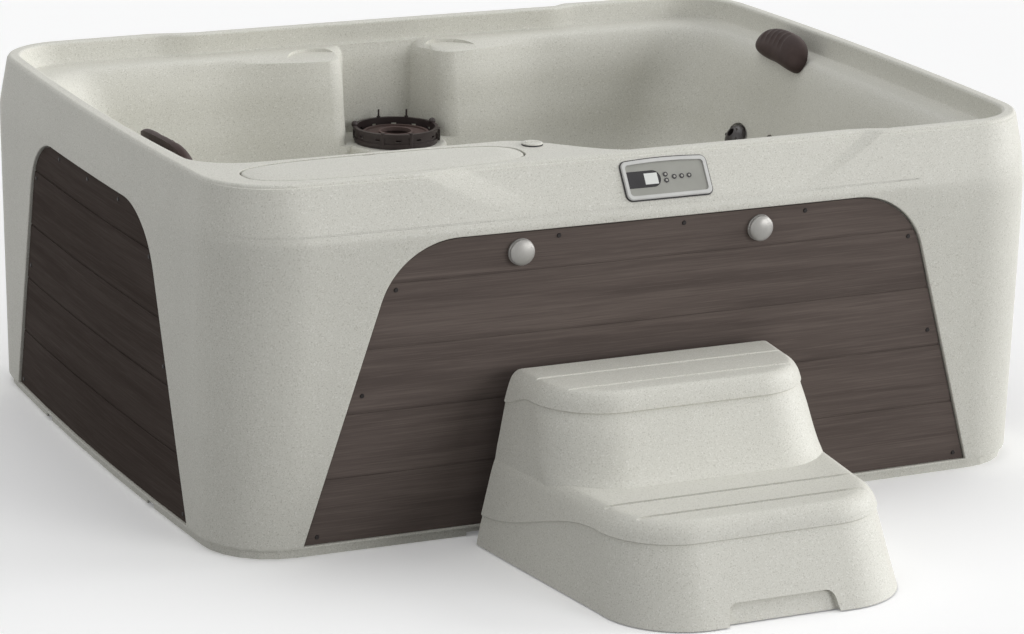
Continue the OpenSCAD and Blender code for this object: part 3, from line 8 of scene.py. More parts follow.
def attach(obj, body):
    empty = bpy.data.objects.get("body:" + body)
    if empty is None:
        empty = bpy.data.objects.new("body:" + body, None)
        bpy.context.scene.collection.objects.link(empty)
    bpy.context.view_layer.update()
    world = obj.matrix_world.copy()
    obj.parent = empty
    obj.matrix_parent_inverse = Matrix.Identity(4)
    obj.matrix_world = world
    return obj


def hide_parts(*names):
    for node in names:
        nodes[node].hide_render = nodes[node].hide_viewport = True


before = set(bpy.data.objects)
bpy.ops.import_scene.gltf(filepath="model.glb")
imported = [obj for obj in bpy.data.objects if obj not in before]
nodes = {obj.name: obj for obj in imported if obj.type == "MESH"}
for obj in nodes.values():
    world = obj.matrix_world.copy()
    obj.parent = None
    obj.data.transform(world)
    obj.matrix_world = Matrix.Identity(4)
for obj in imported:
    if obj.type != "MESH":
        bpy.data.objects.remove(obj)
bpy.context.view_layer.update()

columns = np.column_stack

# the tub's main sizes in millimetres, the same as the frame's
tub = {
    "height": 768, "wallFoot": 24, "crease": 655, "halfLong": 950, "halfWide": 792,
    "bowLong": 15, "bowWide": 8, "footInX": 8, "footInY": 33, "rimInX": 14, "rimInY": 47,
    "cornerRadius": 190, "rimRadius": 160, "rimEdge": 8, "rimWidth": 30, "skin": 7,
    "creaseSoft": 2.4, "cornerSoft": 12, "cornerReach": 170,  # the crease, and where it softens at the right
    "brow": 21, "browFoot": 679, "browLowHalf": 302, "browHighHalf": 498,  # the recessed band under the rim
    "browRampLeft": 110, "browRampRight": 36, "browShift": 25,
}
browRun = tub["height"] - tub["browFoot"]
bandRun = tub["height"] - tub["crease"]
wallRun = tub["crease"] - tub["wallFoot"]


def clamp01(t):
    return np.clip(t, 0.0, 1.0)


def ease(t):
    u = clamp01(t)
    return u * u * (3 - 2 * u)


def lerp(a, b, t):
    return a + (b - a) * t


def fullTurn(count):
    return np.linspace(0, 2 * math.pi, count, endpoint=False)


def softMax(a, b, e):
    return 0.5 * (a + b + np.sqrt((a - b) ** 2 + e * e))


def smoothCurve(rows, s, counts):
    # curve through rows of numbers at places s that doesn't overshoot them, with counts[k] steps in gap k
    slope = np.zeros_like(rows)
    h = np.diff(s)[:, None]
    d = np.diff(rows, axis=0) / h
    for k in range(1, len(rows) - 1):
        a, b = d[k - 1], d[k]
        w1, w2 = 2 * h[k] + h[k - 1], h[k] + 2 * h[k - 1]
        with np.errstate(divide="ignore", invalid="ignore"):
            slope[k] = np.where(a * b > 0, (w1 + w2) / (w1 / a + w2 / b), 0)
    slope[0], slope[-1] = d[0], d[-1]
    out = [rows[0]]
    for k, count in enumerate(counts):
        for i in range(1, count + 1):
            t, w = i / count, s[k + 1] - s[k]
            out.append((2 * t ** 3 - 3 * t ** 2 + 1) * rows[k] + (t ** 3 - 2 * t ** 2 + t) * w * slope[k]
                       + (3 * t ** 2 - 2 * t ** 3) * rows[k + 1] + (t ** 3 - t ** 2) * w * slope[k + 1])
    return out


def makeMesh(name, points, faces, scale=0.001, place=None):
    mesh = bpy.data.meshes.new(name)
    mesh.from_pydata((np.asarray(points, float) * scale).tolist(), [], faces)
    bm = bmesh.new()
    bm.from_mesh(mesh)
    if place is not None:
        bmesh.ops.transform(bm, matrix=place, verts=bm.verts)
    bmesh.ops.recalc_face_normals(bm, faces=bm.faces)
    bm.to_mesh(mesh)
    bm.free()
    thing = bpy.data.objects.new(name, mesh)
    bpy.context.scene.collection.objects.link(thing)
    return thing


def loft(name, rings, place=None):
    # closed skin over rings of equal length, with flat ends
    rings = [np.asarray(r, float) for r in rings]
    n, m = len(rings[0]), len(rings)
    faces = []
    for k in range(m - 1):
        a, b = k * n, (k + 1) * n
        faces += [(a + i, a + (i + 1) % n, b + (i + 1) % n, b + i) for i in range(n)]
    faces.append(tuple(range(n - 1, -1, -1)))
    faces.append(tuple((m - 1) * n + i for i in range(n)))
    return makeMesh(name, np.vstack(rings), faces, place=place)


def lathe(name, profile, turns, place):
    # profile of (radius, height) turned about the axis, with flat ends
    rings = [[(r * math.cos(a), r * math.sin(a), z) for a in fullTurn(turns)] for r, z in profile]
    return loft(name, rings, place)


def drum(name, radius, low, high, turns, place):
    return lathe(name, [(radius, low), (radius, high)], turns, place)


def bake(thing):
    graph = bpy.context.evaluated_depsgraph_get()
    mesh = bpy.data.meshes.new_from_object(thing.evaluated_get(graph))
    thing.modifiers.clear()
    old = thing.data
    thing.data = mesh
    bpy.data.meshes.remove(old)


def carve(target, *cutters, operation="DIFFERENCE", keep=False):
    for cutter in cutters:
        step = target.modifiers.new("carve", "BOOLEAN")
        step.operation = operation
        step.solver = "MANIFOLD"
        step.object = cutter
        bake(target)
        if not keep:
            bpy.data.objects.remove(cutter)
    return target


def softShade(thing, angle, weighted=True):
    # smooth faces with creases left crisp, shading led by the large faces
    mesh = thing.data
    bm = bmesh.new()
    bm.from_mesh(mesh)
    bmesh.ops.remove_doubles(bm, verts=bm.verts, dist=1e-6)
    bmesh.ops.dissolve_degenerate(bm, dist=1e-6, edges=bm.edges)
    for e in bm.edges:
        e.smooth = len(e.link_faces) == 2 and e.calc_face_angle(0) < math.radians(angle)
    for f in bm.faces:
        f.smooth = True
    bm.to_mesh(mesh)
    bm.free()
    if weighted:
        lean = thing.modifiers.new("weighted", "WEIGHTED_NORMAL")
        lean.keep_sharp = True
        lean.weight = 80


def turn(axis, degrees):
    return Matrix.Rotation(math.radians(degrees), 4, axis)


def shift(x, y, z):
    return Matrix.Translation((x * 0.001, y * 0.001, z * 0.001))


def insetAt(z, foot, rim, soft=tub["creaseSoft"]):
    # how far a wall stands in from its crease, which is its widest level
    below = foot * (tub["crease"] - z) / wallRun
    above = rim * (z - tub["crease"]) / bandRun
    return softMax(below, above, soft)


def insetX(z):
    return insetAt(z, tub["footInX"], tub["rimInX"])


def insetY(z):
    return insetAt(z, tub["footInY"], tub["rimInY"])


def cornerEase(z):
    # how far the right corners' softer crease draws in behind the wall's own
    return insetAt(z, tub["footInY"], tub["rimInY"], tub["cornerSoft"]) - insetY(z)


def radiusAt(z):
    below, above = (tub["crease"] - z) / wallRun, (z - tub["crease"]) / bandRun
    return lerp(tub["cornerRadius"], tub["rimRadius"], softMax(below, above, 0.02))


def browEnds(z):
    # where the brow's left and right ends start and stop at a height, from its middle
    up = float(clamp01((z - tub["browFoot"]) / browRun))
    reach = lerp(tub["browLowHalf"], tub["browHighHalf"], up ** 0.8)
    left, right = tub["browRampLeft"] / 2, tub["browRampRight"] / 2
    return reach - left, reach + left, reach - right, reach + right


def browSteps(z, mid, sx, fine):
    a, b, c, d = browEnds(z)
    knots = [-sx, mid - b, mid - a, mid + c, mid + d, sx]
    counts = [8, 12, 22, 12, 8] if fine else [2, 4, 4, 4, 2]
    runs = [np.linspace(*gap, endpoint=False) for gap in zip(knots[:-1], knots[1:], counts)]
    return np.concatenate(runs)[1:]


def browShare(x, z, mid):
    # 1 within the brow, 0 beyond its ends
    a, b, c, d = browEnds(z)
    t = np.where(x < mid, (mid - x - a) / (b - a), (x - mid - c) / (d - c))
    return 1 - 0.35 * ease(t) - 0.65 * clamp01(t)


def browDepth(z):
    u = (z - tub["browFoot"]) / browRun
    return tub["brow"] * 0.5 * (u + math.sqrt(u * u + 0.0012))


def quarter(cx, cy, r, start, count):
    a = np.radians(np.linspace(start, start + 90, count + 1))
    return columns([cx + r * np.cos(a), cy + r * np.sin(a)])


def wallRing(z, inX, inY, r, d, fine):
    # one level of the outer form, d inside its face
    ax, ay, rr = tub["halfLong"] - inX - d, tub["halfWide"] - inY - d, r - d
    sx, sy = ax - rr, ay - rr
    count = 20 if fine else 6
    ends = np.linspace(1, -1, 34 if fine else 6)[1:-1]
    dent = browDepth(z)
    back = browSteps(z, 0, sx, fine)[::-1]
    front = browSteps(z, tub["browShift"], sx, fine)
    yBack = ay + tub["bowWide"] * (1 - (back / sx) ** 2) - dent * browShare(back, z, 0)
    yFront = ay + tub["bowWide"] * (1 - (front / sx) ** 2) - dent * browShare(front, z, tub["browShift"])
    soft, reach = float(cornerEase(z)), tub["cornerReach"]
    yBack -= soft * ease((back - sx + reach) / reach)
    yFront -= soft * ease((front - sx + reach) / reach)
    side = ax + tub["bowLong"] * (1 - ends ** 2)
    flat = np.vstack([
        quarter(sx, sy, rr - soft, 0, count),
        columns([back, yBack]),
        quarter(-sx, sy, rr, 90, count),
        columns([-side, sy * ends]),
        quarter(-sx, -sy, rr, 180, count),
        columns([front, -yFront]),
        quarter(sx, -sy, rr - soft, 270, count),
        columns([side - soft * ease((np.abs(ends) * sy - sy + reach) / reach), -sy * ends])])
    return columns([flat, np.full(len(flat), z)])


def outerForm(name, d=0, fine=True):
    low = tub["wallFoot"] - (60 if d else 0)
    top = tub["height"]
    crease, edge = tub["crease"], top - tub["rimEdge"] - d
    if fine:  # closest at the crease and at the brow's foot
        levels = np.concatenate([
            np.linspace(low, crease - 40, 11), np.linspace(crease - 28, crease + 16, 12),
            [668, 673, 676, 678, 680, 682, 685, 690], np.linspace(698, edge, 9)])
    else:
        levels = np.array([low, 340, crease - 12, crease, crease + 12, tub["browFoot"], edge])
    rings = [wallRing(z, insetX(z), insetY(z), radiusAt(z), d, fine) for z in levels]
    for k in range(1, 9 if fine else 3):
        a = math.pi / 2 * k / (8 if fine else 2)
        z = top - d - tub["rimEdge"] * (1 - math.sin(a))
        e = tub["rimEdge"] * (1 - math.cos(a))
        rings.append(wallRing(z, tub["rimInX"] + e, tub["rimInY"] + e, tub["rimRadius"] - e, d, fine))
    return loft(name, rings)


# the bathing cavity: rim band, ledge, seats with their scoops and swell, front deck
cave = {
    "bandDrop": 50, "ledge": 36, "seat": 370, "deckIn": 180, "lipRadius": 7,
    "swell": 48, "scoop": 24, "scoopHeight": 520, "pillowY": 266,
}
# the filter's bay in the back wall, its pedestal and the two round pads beside it
bay = {
    "half": 108, "back": 696, "corner": 6, "taper": 26, "splay": 8, "mouthRadius": 46,
    "pedestal": 505, "pedestalRadius": 120, "filterY": 574, "canister": 86.6,
    "padLeft": -178, "padRight": 152, "padRadius": 78, "padHigh": 718, "padDepth": 9, "padBack": 12,
}
caveX = tub["halfLong"] - tub["rimInX"] - tub["rimWidth"]
caveY = tub["halfWide"] - tub["rimInY"] - tub["rimWidth"]
caveR = tub["rimRadius"] - tub["rimWidth"]
caveRows = np.array([  # drop below the rim, inset along X and along Y, change of the corner radius
    [7, 0, 0, 0], [26, 2.2, 2.2, 0], [43, 4.6, 4.6, 0], [47.5, 7, 7, 0], [50, 13, 13, 0], [51, 22, 22, 0],
    [52, 42, 42, 0], [54, 53, 53, 0], [58, 61, 60, 0], [66, 70, 68, 0], [80, 79, 75, 0], [100, 88, 82, 0],
    [140, 102, 91, 0], [180, 114, 96, 0], [234, 130, 107, 0], [284, 142, 116, 0], [318, 158, 128, -6],
    [346, 184, 143, -10], [368, 206, 158, -10], [386, 238, 177, -10], [396, 278, 202, -10],
    [399, 330, 250, -6], [401, 380, 315, 0], [403, 406, 346, 0], [406, 422, 366, 0], [412, 432, 378, 0],
    [423, 437, 385, 0], [520, 449, 395, 0], [628, 461, 405, 0], [646, 467, 411, -6], [656, 477, 421, -14],
    [663, 492, 436, -22], [668, 524, 462, -30]], float)
caveRows[:, 3] += caveR


def fineRows(perGap, spacing=12):
    # smooth run through the rows, by distance along the wall
    drops, insets = caveRows[:, 0], caveRows[:, 1]
    s = np.concatenate([[0], np.cumsum(np.hypot(np.diff(drops), np.diff(insets) * 0.8))])
    return smoothCurve(caveRows, s, [max(1, min(perGap, int(round(gap / spacing)))) for gap in np.diff(s)])


def deckShare(t):
    # 1 over the front deck at the left, 0 over the seat at the right
    return 1 - ease((t + 0.325) / 0.29)


def bump(u):
    return np.where(np.abs(u) < 1, (1 - np.minimum(u * u, 1)) ** 2, 0)


def scoopAt(y, z):
    # hollow of each seat back, below the pillow
    return cave["scoop"] * bump((y - cave["pillowY"]) / 230) * bump((z - cave["scoopHeight"]) / 190)


def swellAt(x, drop):
    # the back wall comes forward on both sides of the bay
    if drop < cave["bandDrop"] + 1:
        return 0 * x
    rise = clamp01((drop - cave["bandDrop"] - 1) / 14)
    return (cave["swell"] * rise * (1 - ease((np.abs(x) - bay["half"] - 60) / 260))
            * clamp01((tub["height"] - drop - cave["seat"]) / 60))


def resample(path, count):
    # count points along a path, its ends left out
    path = np.asarray(path, float)
    s = np.concatenate([[0], np.cumsum(np.hypot(*np.diff(path, axis=0).T))])
    t = np.linspace(0, s[-1], count + 2)[1:-1]
    return columns([np.interp(t, s, path[:, 0]), np.interp(t, s, path[:, 1])])


def backHalf(zc, drop, sx, wall, inBay, d):
    # right half of the back wall from its corner to the middle: 16 + 10 + 10 + 6 + 9 points
    half = bay["half"] + d
    back = bay["back"] + d + 3 * (1 - ease((drop - 52) / 40))
    if inBay:
        top = 26 * (1 - math.sqrt(max(0, 1 - (1 - min(1, (drop - 51) / 26)) ** 2)))
        m = half + top + bay["splay"]
        face = float(wall(m + 30))
        mouth = min(bay["mouthRadius"], 0.62 * (back - face - bay["corner"]))
        start = m + mouth
        level = float(wall(start))
        a = np.radians(np.linspace(-90, -180, 11)[:-1])
        lip = columns([start + mouth * np.cos(a), level + mouth + mouth * np.sin(a)])
        deep = m - bay["taper"]
        r = bay["corner"]
        side = columns([np.linspace(m, deep, 11)[:-1], np.linspace(level + mouth, back - r, 11)[:-1]])
        a = np.radians(np.linspace(0, 90, 7)[:-1])
        corner = columns([deep - r + r * np.cos(a), back - r + r * np.sin(a)])
        flat = columns([np.linspace(deep - r, 0, 9), np.full(9, back)])
        rest = np.vstack([lip, side, corner, flat])
    elif drop < cave["bandDrop"] + 1.5:
        start = half + 26 + bay["mouthRadius"] * 0.4
        xs = np.concatenate([
            np.linspace(start, half + 27, 11)[:-1], np.linspace(half + 27, half + 25, 11)[:-1],
            np.linspace(half + 25, half + 16, 7)[:-1], np.linspace(half + 16, 0, 9)])
        behind = ease((half + 20 - xs) / 14) * float(ease((drop - 44) / 3))
        rest = columns([xs, lerp(wall(xs), np.maximum(wall(xs), back), behind)])
    else:
        below = bay["pedestal"] - zc
        r = bay["pedestalRadius"] - d + 30 * below / bay["pedestal"]
        if below < 9:
            r -= 9 - math.sqrt(max(0, 81 - (9 - below) ** 2))
        face = float(wall(r))
        start = half + bay["mouthRadius"]
        y0 = bay["filterY"]
        a0 = 0 if face >= y0 else math.asin(min(0.99, (y0 - face) / r))
        path = [(r * math.cos(a), y0 - r * math.sin(a)) for a in np.linspace(a0, math.pi / 2, 40)]
        if face >= y0:
            path.insert(0, (r, face))
        xs = np.linspace(start, path[0][0] + 1, 10)
        near = columns([xs, wall(xs)])
        rest = np.vstack([near, [path[0]], resample(path, 23), [path[-1]]])
    xs = np.linspace(sx, start, 18)[1:-1]
    lead = columns([xs, wall(xs)])
    pastPedestal = wall(0) < bay["filterY"] - bay["pedestalRadius"] - 40
    if not inBay and drop > cave["bandDrop"] + 1.5 and pastPedestal:
        xs = np.linspace(start, 0, len(rest))
        rest = columns([xs, wall(xs)])
    return np.vstack([lead, rest])


def caveRing(row, d, inBay=False):
    # one level of the cavity, d outside its face
    drop, inX, inY, radius = row
    zc = tub["height"] - drop
    z = zc - (d if drop > cave["bandDrop"] + 1 else 0)
    ax, ay, rr = caveX - inX + d, caveY - inY + d, radius + d
    sx, sy = ax - rr, ay - rr
    dent = tub["brow"] * clamp01((zc - tub["browFoot"]) / browRun)
    mid = tub["browShift"]

    def backWall(x):
        bow = tub["bowWide"] * (1 - (x / sx) ** 2)
        return ay + bow - dent * browShare(x, tub["height"], 0) - swellAt(x, drop)

    half = backHalf(zc, drop, sx, backWall, inBay, d)
    mirrored = half[:-1][::-1] * [-1, 1]
    sides = np.linspace(1, -1, 42)[1:-1]
    runs = np.concatenate([  # closest where the deck runs out into the seat
        np.linspace(-1, -0.45, 10)[1:], np.linspace(-0.43, 0.02, 22), np.linspace(0.06, 1, 18)[:-1]])
    xs = sx * runs
    bow = tub["bowWide"] * (1 - runs ** 2)
    yFront = ay + bow - dent * browShare(xs, tub["height"], mid) * (1 - deckShare(runs))
    sideX = ax + tub["bowLong"] * (1 - sides ** 2) + scoopAt(-sy * sides, zc)
    flat = np.vstack([
        quarter(sx, sy, rr, 0, 14), half, mirrored, quarter(-sx, sy, rr, 90, 14),
        columns([-sideX, sy * sides]),
        quarter(-sx, -sy, rr, 180, 14), columns([xs, -yFront]), quarter(sx, -sy, rr, 270, 14),
        columns([sideX, -sy * sides])])
    draw = 0 if zc < cave["seat"] - 4 else cave["deckIn"] / caveY
    pull = np.where(flat[:, 1] < 0, 1 - draw * deckShare(flat[:, 0] / max(sx, 1)), 1)
    flat[:, 1] *= pull
    return columns([flat, np.full(len(flat), z)])


def cavity(name, d=0, fine=True):
    rows = fineRows(6 if fine else 1)
    lip = cave["lipRadius"]
    rings = [caveRing([-40, -lip, -lip, caveR + lip], d), caveRing([-0.01, -lip, -lip, caveR + lip], d)]
    for k in range(1, 7):
        a = math.pi / 2 * k / 6
        e = lip * (1 - math.sin(a))
        rings.append(caveRing([lip * (1 - math.cos(a)), -e, -e, caveR + e], d))
    pedestalDrop = tub["height"] - bay["pedestal"]
    drops = [row[0] for row in rows]

    def rowAt(drop):
        return np.array([np.interp(drop, drops, [row[k] for row in rows]) for k in range(4)])

    rings += [caveRing(row, d, row[0] >= cave["bandDrop"] + 1.5)
              for row in rows[1:] if row[0] < pedestalDrop - 3]
    rings.append(caveRing(rowAt(pedestalDrop), d, True))
    rings += [caveRing(rowAt(pedestalDrop + extra), d) for extra in (0, 0.7, 2.4, 5, 9)]
    rings += [caveRing(row, d) for row in rows[1:] if row[0] > pedestalDrop + 11]
    return loft(name, rings[::-1])


# the frame's plainer cavity, on whose walls the jets, lights and pillows are placed
plainDrops = [50, 52, 62, 100, 180, 284.5, 336, 380, 398, 403, 423, 628, 660, 668]
plainInX = [14, 50, 66, 88, 114, 142, 176, 228, 288, 406, 436, 461, 481, 516]
plainInY = [14, 50, 64, 82, 96, 116, 138, 168, 208, 360, 385, 405, 425, 455]


def caveFaceX(y, z):
    drop = tub["height"] - z
    s = caveY - np.interp(drop, plainDrops, plainInY) - caveR
    bow = tub["bowLong"] * (1 - (y / s) ** 2)
    return caveX - np.interp(drop, plainDrops, plainInX) + bow + float(scoopAt(y, z))


def caveFaceY(x, z):
    drop = tub["height"] - z
    s = caveX - np.interp(drop, plainDrops, plainInX) - caveR
    return caveY - np.interp(drop, plainDrops, plainInY) + tub["bowWide"] * (1 - (x / s) ** 2)


leftPull = 1 - cave["deckIn"] / caveY
jets = {  # radius of the face, place along Y, height, radius of the bore
    "sink": 4, "large": (36, 350, 493, 24), "small": (20, 218, 508, 12), "play": 0.4, "landOut": 2,
}
wellSeats = {"x": 150, "z": 200, "sink": 6, "land": 46, "bore": 30.4}  # suction cover and light, in the foot well
airValve = {"x": -206, "y": -598, "bore": 14.4}


def atJet(y, z, left):
    lean = math.degrees(math.atan((caveFaceX(y, z + 25) - caveFaceX(y, z - 25)) / 50))
    return (turn("Z", 180 if left else 0) @ shift(caveFaceX(y, z), y * leftPull if left else y, z)
            @ turn("Y", lean - 90) @ shift(0, 0, -jets["sink"]))


def atWell(x):
    y = -caveFaceY(x, wellSeats["z"]) - wellSeats["sink"]
    return shift(x, y, wellSeats["z"]) @ turn("X", -90)


def longFace(x, z):
    s = tub["halfLong"] - insetX(z) - radiusAt(z)
    return tub["halfWide"] - insetY(z) + tub["bowWide"] * (1 - (x / s) ** 2)


def endFace(y, z):
    s = tub["halfWide"] - insetY(z) - radiusAt(z)
    return tub["halfLong"] - insetX(z) + tub["bowLong"] * (1 - (y / s) ** 2)


arches = {"frontHalf": 769, "sideHalf": 545, "lean": 17.1, "radius": 168, "foot": 25, "top": 640, "gap": 3,
          "flare": 2.6, "return": 14}


def archOutline(half, g, low):
    lean, r = math.radians(arches["lean"]), arches["radius"]
    topHalf = half - math.tan(lean) * (arches["top"] - arches["foot"])
    cx = topHalf - r * math.tan((math.pi / 2 - lean) / 2)
    a = np.linspace(lean, math.pi / 2, 30)
    right = columns([cx + (r + g) * np.cos(a), arches["top"] - r + (r + g) * np.sin(a)])
    ramp = np.linspace(arches["foot"], right[0, 1], 14)[:-1]
    slant = columns([np.interp(ramp, [arches["foot"], right[0, 1]], [half + g, right[0, 0]]), ramp])
    right = np.vstack([[(half + g, low)], slant, right])
    top = np.linspace(cx, -cx, 26)[1:-1]
    top = columns([top, np.full(len(top), arches["top"] + g)])
    left = right[::-1] * [-1, 1]
    return np.vstack([right, top, left])


def archCutter(name, half, face, reach, quarterTurn, g, flare):
    # prism through the wall, its mouth eased to a small radius that follows the wall's face
    low = tub["wallFoot"] - 20

    def ring(grow, y=None, depth=None):
        line = archOutline(half, grow, low)
        if y is not None:
            return columns([line[:, 0], np.full(len(line), y), line[:, 1]])
        z = np.maximum(line[:, 1], tub["wallFoot"])
        return columns([line[:, 0], -(face(line[:, 0], z) - depth), line[:, 1]])

    rings = [ring(g, y=60 - reach)]
    if flare:
        for k in range(0, 7):
            a = math.pi / 2 * k / 6
            rings.append(ring(g + flare * (1 - math.cos(a)), depth=flare * (1 - math.sin(a)) - 0.02))
        rings.append(ring(g + flare + 0.01, y=-reach - 60))
    else:
        rings.append(ring(g, y=-reach - 60))
    return loft(name, rings, turn("Z", quarterTurn))


lid = {"x": -552, "y": -638, "half": 300, "wide": 82, "thick": 12, "flange": 2.8,
       "gap": 4, "eased": 1.4, "ledge": 28}


def lidRing(g, z, count=144):
    # the lid's outline at a height, g larger all round
    a = fullTurn(count)
    c, s = np.cos(a), np.sin(a)
    x = np.sign(c) * np.abs(c) ** 0.62 * lid["half"] + g * c + lid["x"]
    y = np.sign(s) * np.abs(s) ** 0.72 * lid["wide"] + g * s + lid["y"]
    return columns([x, y, np.full(count, z)])


control = {"x": 17, "y": -764.839, "z": 716.963, "lean": 33.2425, "off": 0.15, "length": 194, "height": 86,
           "crown": 3, "hole": (174, 66, 6)}


def softPlate(l, h, r, low, high, place):
    # plate with round corners and a crowned upper edge, as the control panel has
    points, crown = [], control["crown"]
    across, up = l / 2 - r, h / 2 - r
    corners = ((across, up - crown), (-across, up - crown), (-across, -up), (across, -up))
    for (cx, cy), start in zip(corners, (0, 90, 180, 270)):
        points += quarter(cx, cy, r, start, 8).tolist()
        if start == 0:
            points += [(u * across, h / 2 - crown * u * u) for u in np.linspace(1, -1, 13)[1:-1]]
    return loft("plate", [[(x, y, z) for x, y in points] for z in (low, high)], place)


def atControl():
    middle = shift(control["x"], control["y"], control["z"])
    return middle @ turn("X", 90 - control["lean"]) @ shift(0, 0, control["off"])


walls = [(a, arches["frontHalf"], longFace, tub["halfWide"]) for a in (0, 180)]
walls += [(a, arches["sideHalf"], endFace, tub["halfLong"]) for a in (90, 270)]


def buildShell():
    # a fine skin and a plain inner form, both cut by the same openings, then the one taken from the other
    t = tub["skin"]
    skin = outerForm("tubSkin")
    inner = outerForm("innerForm", t, fine=False)
    backing = outerForm("backing", arches["return"])
    deepBacking = outerForm("deepBacking", arches["return"] + t, fine=False)
    for a, half, face, reach in walls:
        mouth = archCutter("mouth", half, face, reach, a, arches["gap"], arches["flare"])
        carve(mouth, backing, keep=True)
        carve(skin, mouth)
        mouth = archCutter("mouth", half, face, reach, a, arches["gap"] + t, 0)
        carve(mouth, deepBacking, keep=True)
        carve(inner, mouth)
    bpy.data.objects.remove(backing)
    bpy.data.objects.remove(deepBacking)
    carve(skin, cavity("hollow"))
    carve(inner, cavity("hollowBack", t, fine=False))
    top = tub["height"]
    seat, g, e = top - lid["thick"] - lid["flange"], lid["gap"], lid["eased"]
    edge = [lidRing(g + e * (1 - math.cos(a)), top - e * (1 - math.sin(a)))
            for a in np.radians(np.linspace(15, 90, 6))]
    carve(skin, loft("lidSeat", [lidRing(g, seat), lidRing(g, top - e), *edge, lidRing(g + e, top + 20)]))
    carve(inner, loft("lidBack", [lidRing(g + t, seat - t, 48), lidRing(g + t, top + 20, 48)]))
    for x in (bay["padLeft"], bay["padRight"]):
        r, low = bay["padRadius"], bay["padHigh"] - bay["padDepth"]
        place = shift(x, bay["back"] - bay["padBack"] - r, 0)
        carve(skin, drum("pad", r, low, top - 8, 128, place))
        carve(inner, drum("pad", r + t, low - t, top - 8, 32, place))
    for left in (False, True):
        for r, y, z, bore in (jets["large"], jets["small"]):
            place, land = atJet(y, z, left), r + jets["landOut"]
            carve(skin, drum("land", land, 0, 60, 72, place))
            carve(skin, drum("bore", bore + jets["play"], -40, 20, 48, place))
            carve(inner, drum("land", land + t, -t, 60, 32, place))
    for x in (-wellSeats["x"], wellSeats["x"]):
        place, land = atWell(x), wellSeats["land"]
        carve(skin, drum("land", land, 0, 40, 72, place))
        carve(skin, drum("bore", wellSeats["bore"], -30, 10, 48, place))
        carve(inner, drum("land", land + t, -t, 40, 32, place))
    carve(skin, inner)
    high = bay["pedestal"]
    carve(skin, drum("canister", bay["canister"], high - 40, high + 30, 96, shift(0, bay["filterY"], 0)))
    for a, half, face, reach in walls:
        carve(skin, archCutter("through", half, face, reach, a, arches["gap"] - 30, 0))
    carve(skin, loft("bucketWay", [lidRing(-lid["ledge"], top - 80), lidRing(-lid["ledge"], top + 20)]))
    carve(skin, softPlate(*control["hole"], -50, 30, atControl()))
    place = shift(airValve["x"], airValve["y"], 0)
    carve(skin, drum("airWay", airValve["bore"], top - 60, top + 20, 48, place))
    softShade(skin, 34)
    return skin


step = {
    "x": -50, "y": -818, "half": 368, "deep": 625, "treadTop": 364, "treadLow": 194, "topDeep": 222,
    "radius": 165, "taper": 0.11, "lean": 0.15, "lipLow": 154, "lipTop": 325, "pad": 3, "wall": 5,
    "gripHalf": 122, "gripHigh": 42,
    "topLines": (-76, -166), "lowLines": (-392, -478), "lowSink": 2.4,  # the lines pressed into the treads
    "lineHalf": 420, "lineWide": 5.2, "lineDeep": 4.4, "lineUp": 1.2,
}


def smoothRun(rows, perGap):
    rows = np.array(rows, float)
    s = np.concatenate([[0], np.cumsum(np.linalg.norm(np.diff(rows, axis=0), axis=1))])
    return smoothCurve(rows, s, [perGap] * (len(rows) - 1))


def stepRing(row, d, fine):
    # one level of the step, d inside its face, that falls from the back to the front
    zFront, zBack, foot, deep, r = row
    s1, rr = deep - r, r - d
    count = 22 if fine else 6

    def level(s):
        return zBack + (zFront - zBack) * ease(s / s1)

    def side(s):
        return foot - d - step["taper"] * s - step["lean"] * level(s)

    run = np.linspace(d, s1, count)[:-1]
    cx = side(s1) - rr
    a = np.radians(np.linspace(180, 270, count))
    left = columns([-side(run), -run, level(run)])
    cornerLeft = columns([-cx + rr * np.cos(a), -s1 + rr * np.sin(a), np.full(count, zFront)])
    a = np.radians(np.linspace(270, 360, count))
    front = np.linspace(-cx, cx, 12 if fine else 3)[1:-1]
    frontRun = columns([front, np.full(len(front), -s1 - rr), np.full(len(front), zFront)])
    cornerRight = columns([cx + rr * np.cos(a), -s1 + rr * np.sin(a), np.full(count, zFront)])
    right = left[::-1] * [-1, 1, 1]
    back = np.linspace(side(d), -side(d), 10 if fine else 3)[1:-1]
    backRun = columns([back, np.full(len(back), -d), np.full(len(back), level(d))])
    return np.vstack([left, cornerLeft, frontRun, cornerRight, right, backRun])


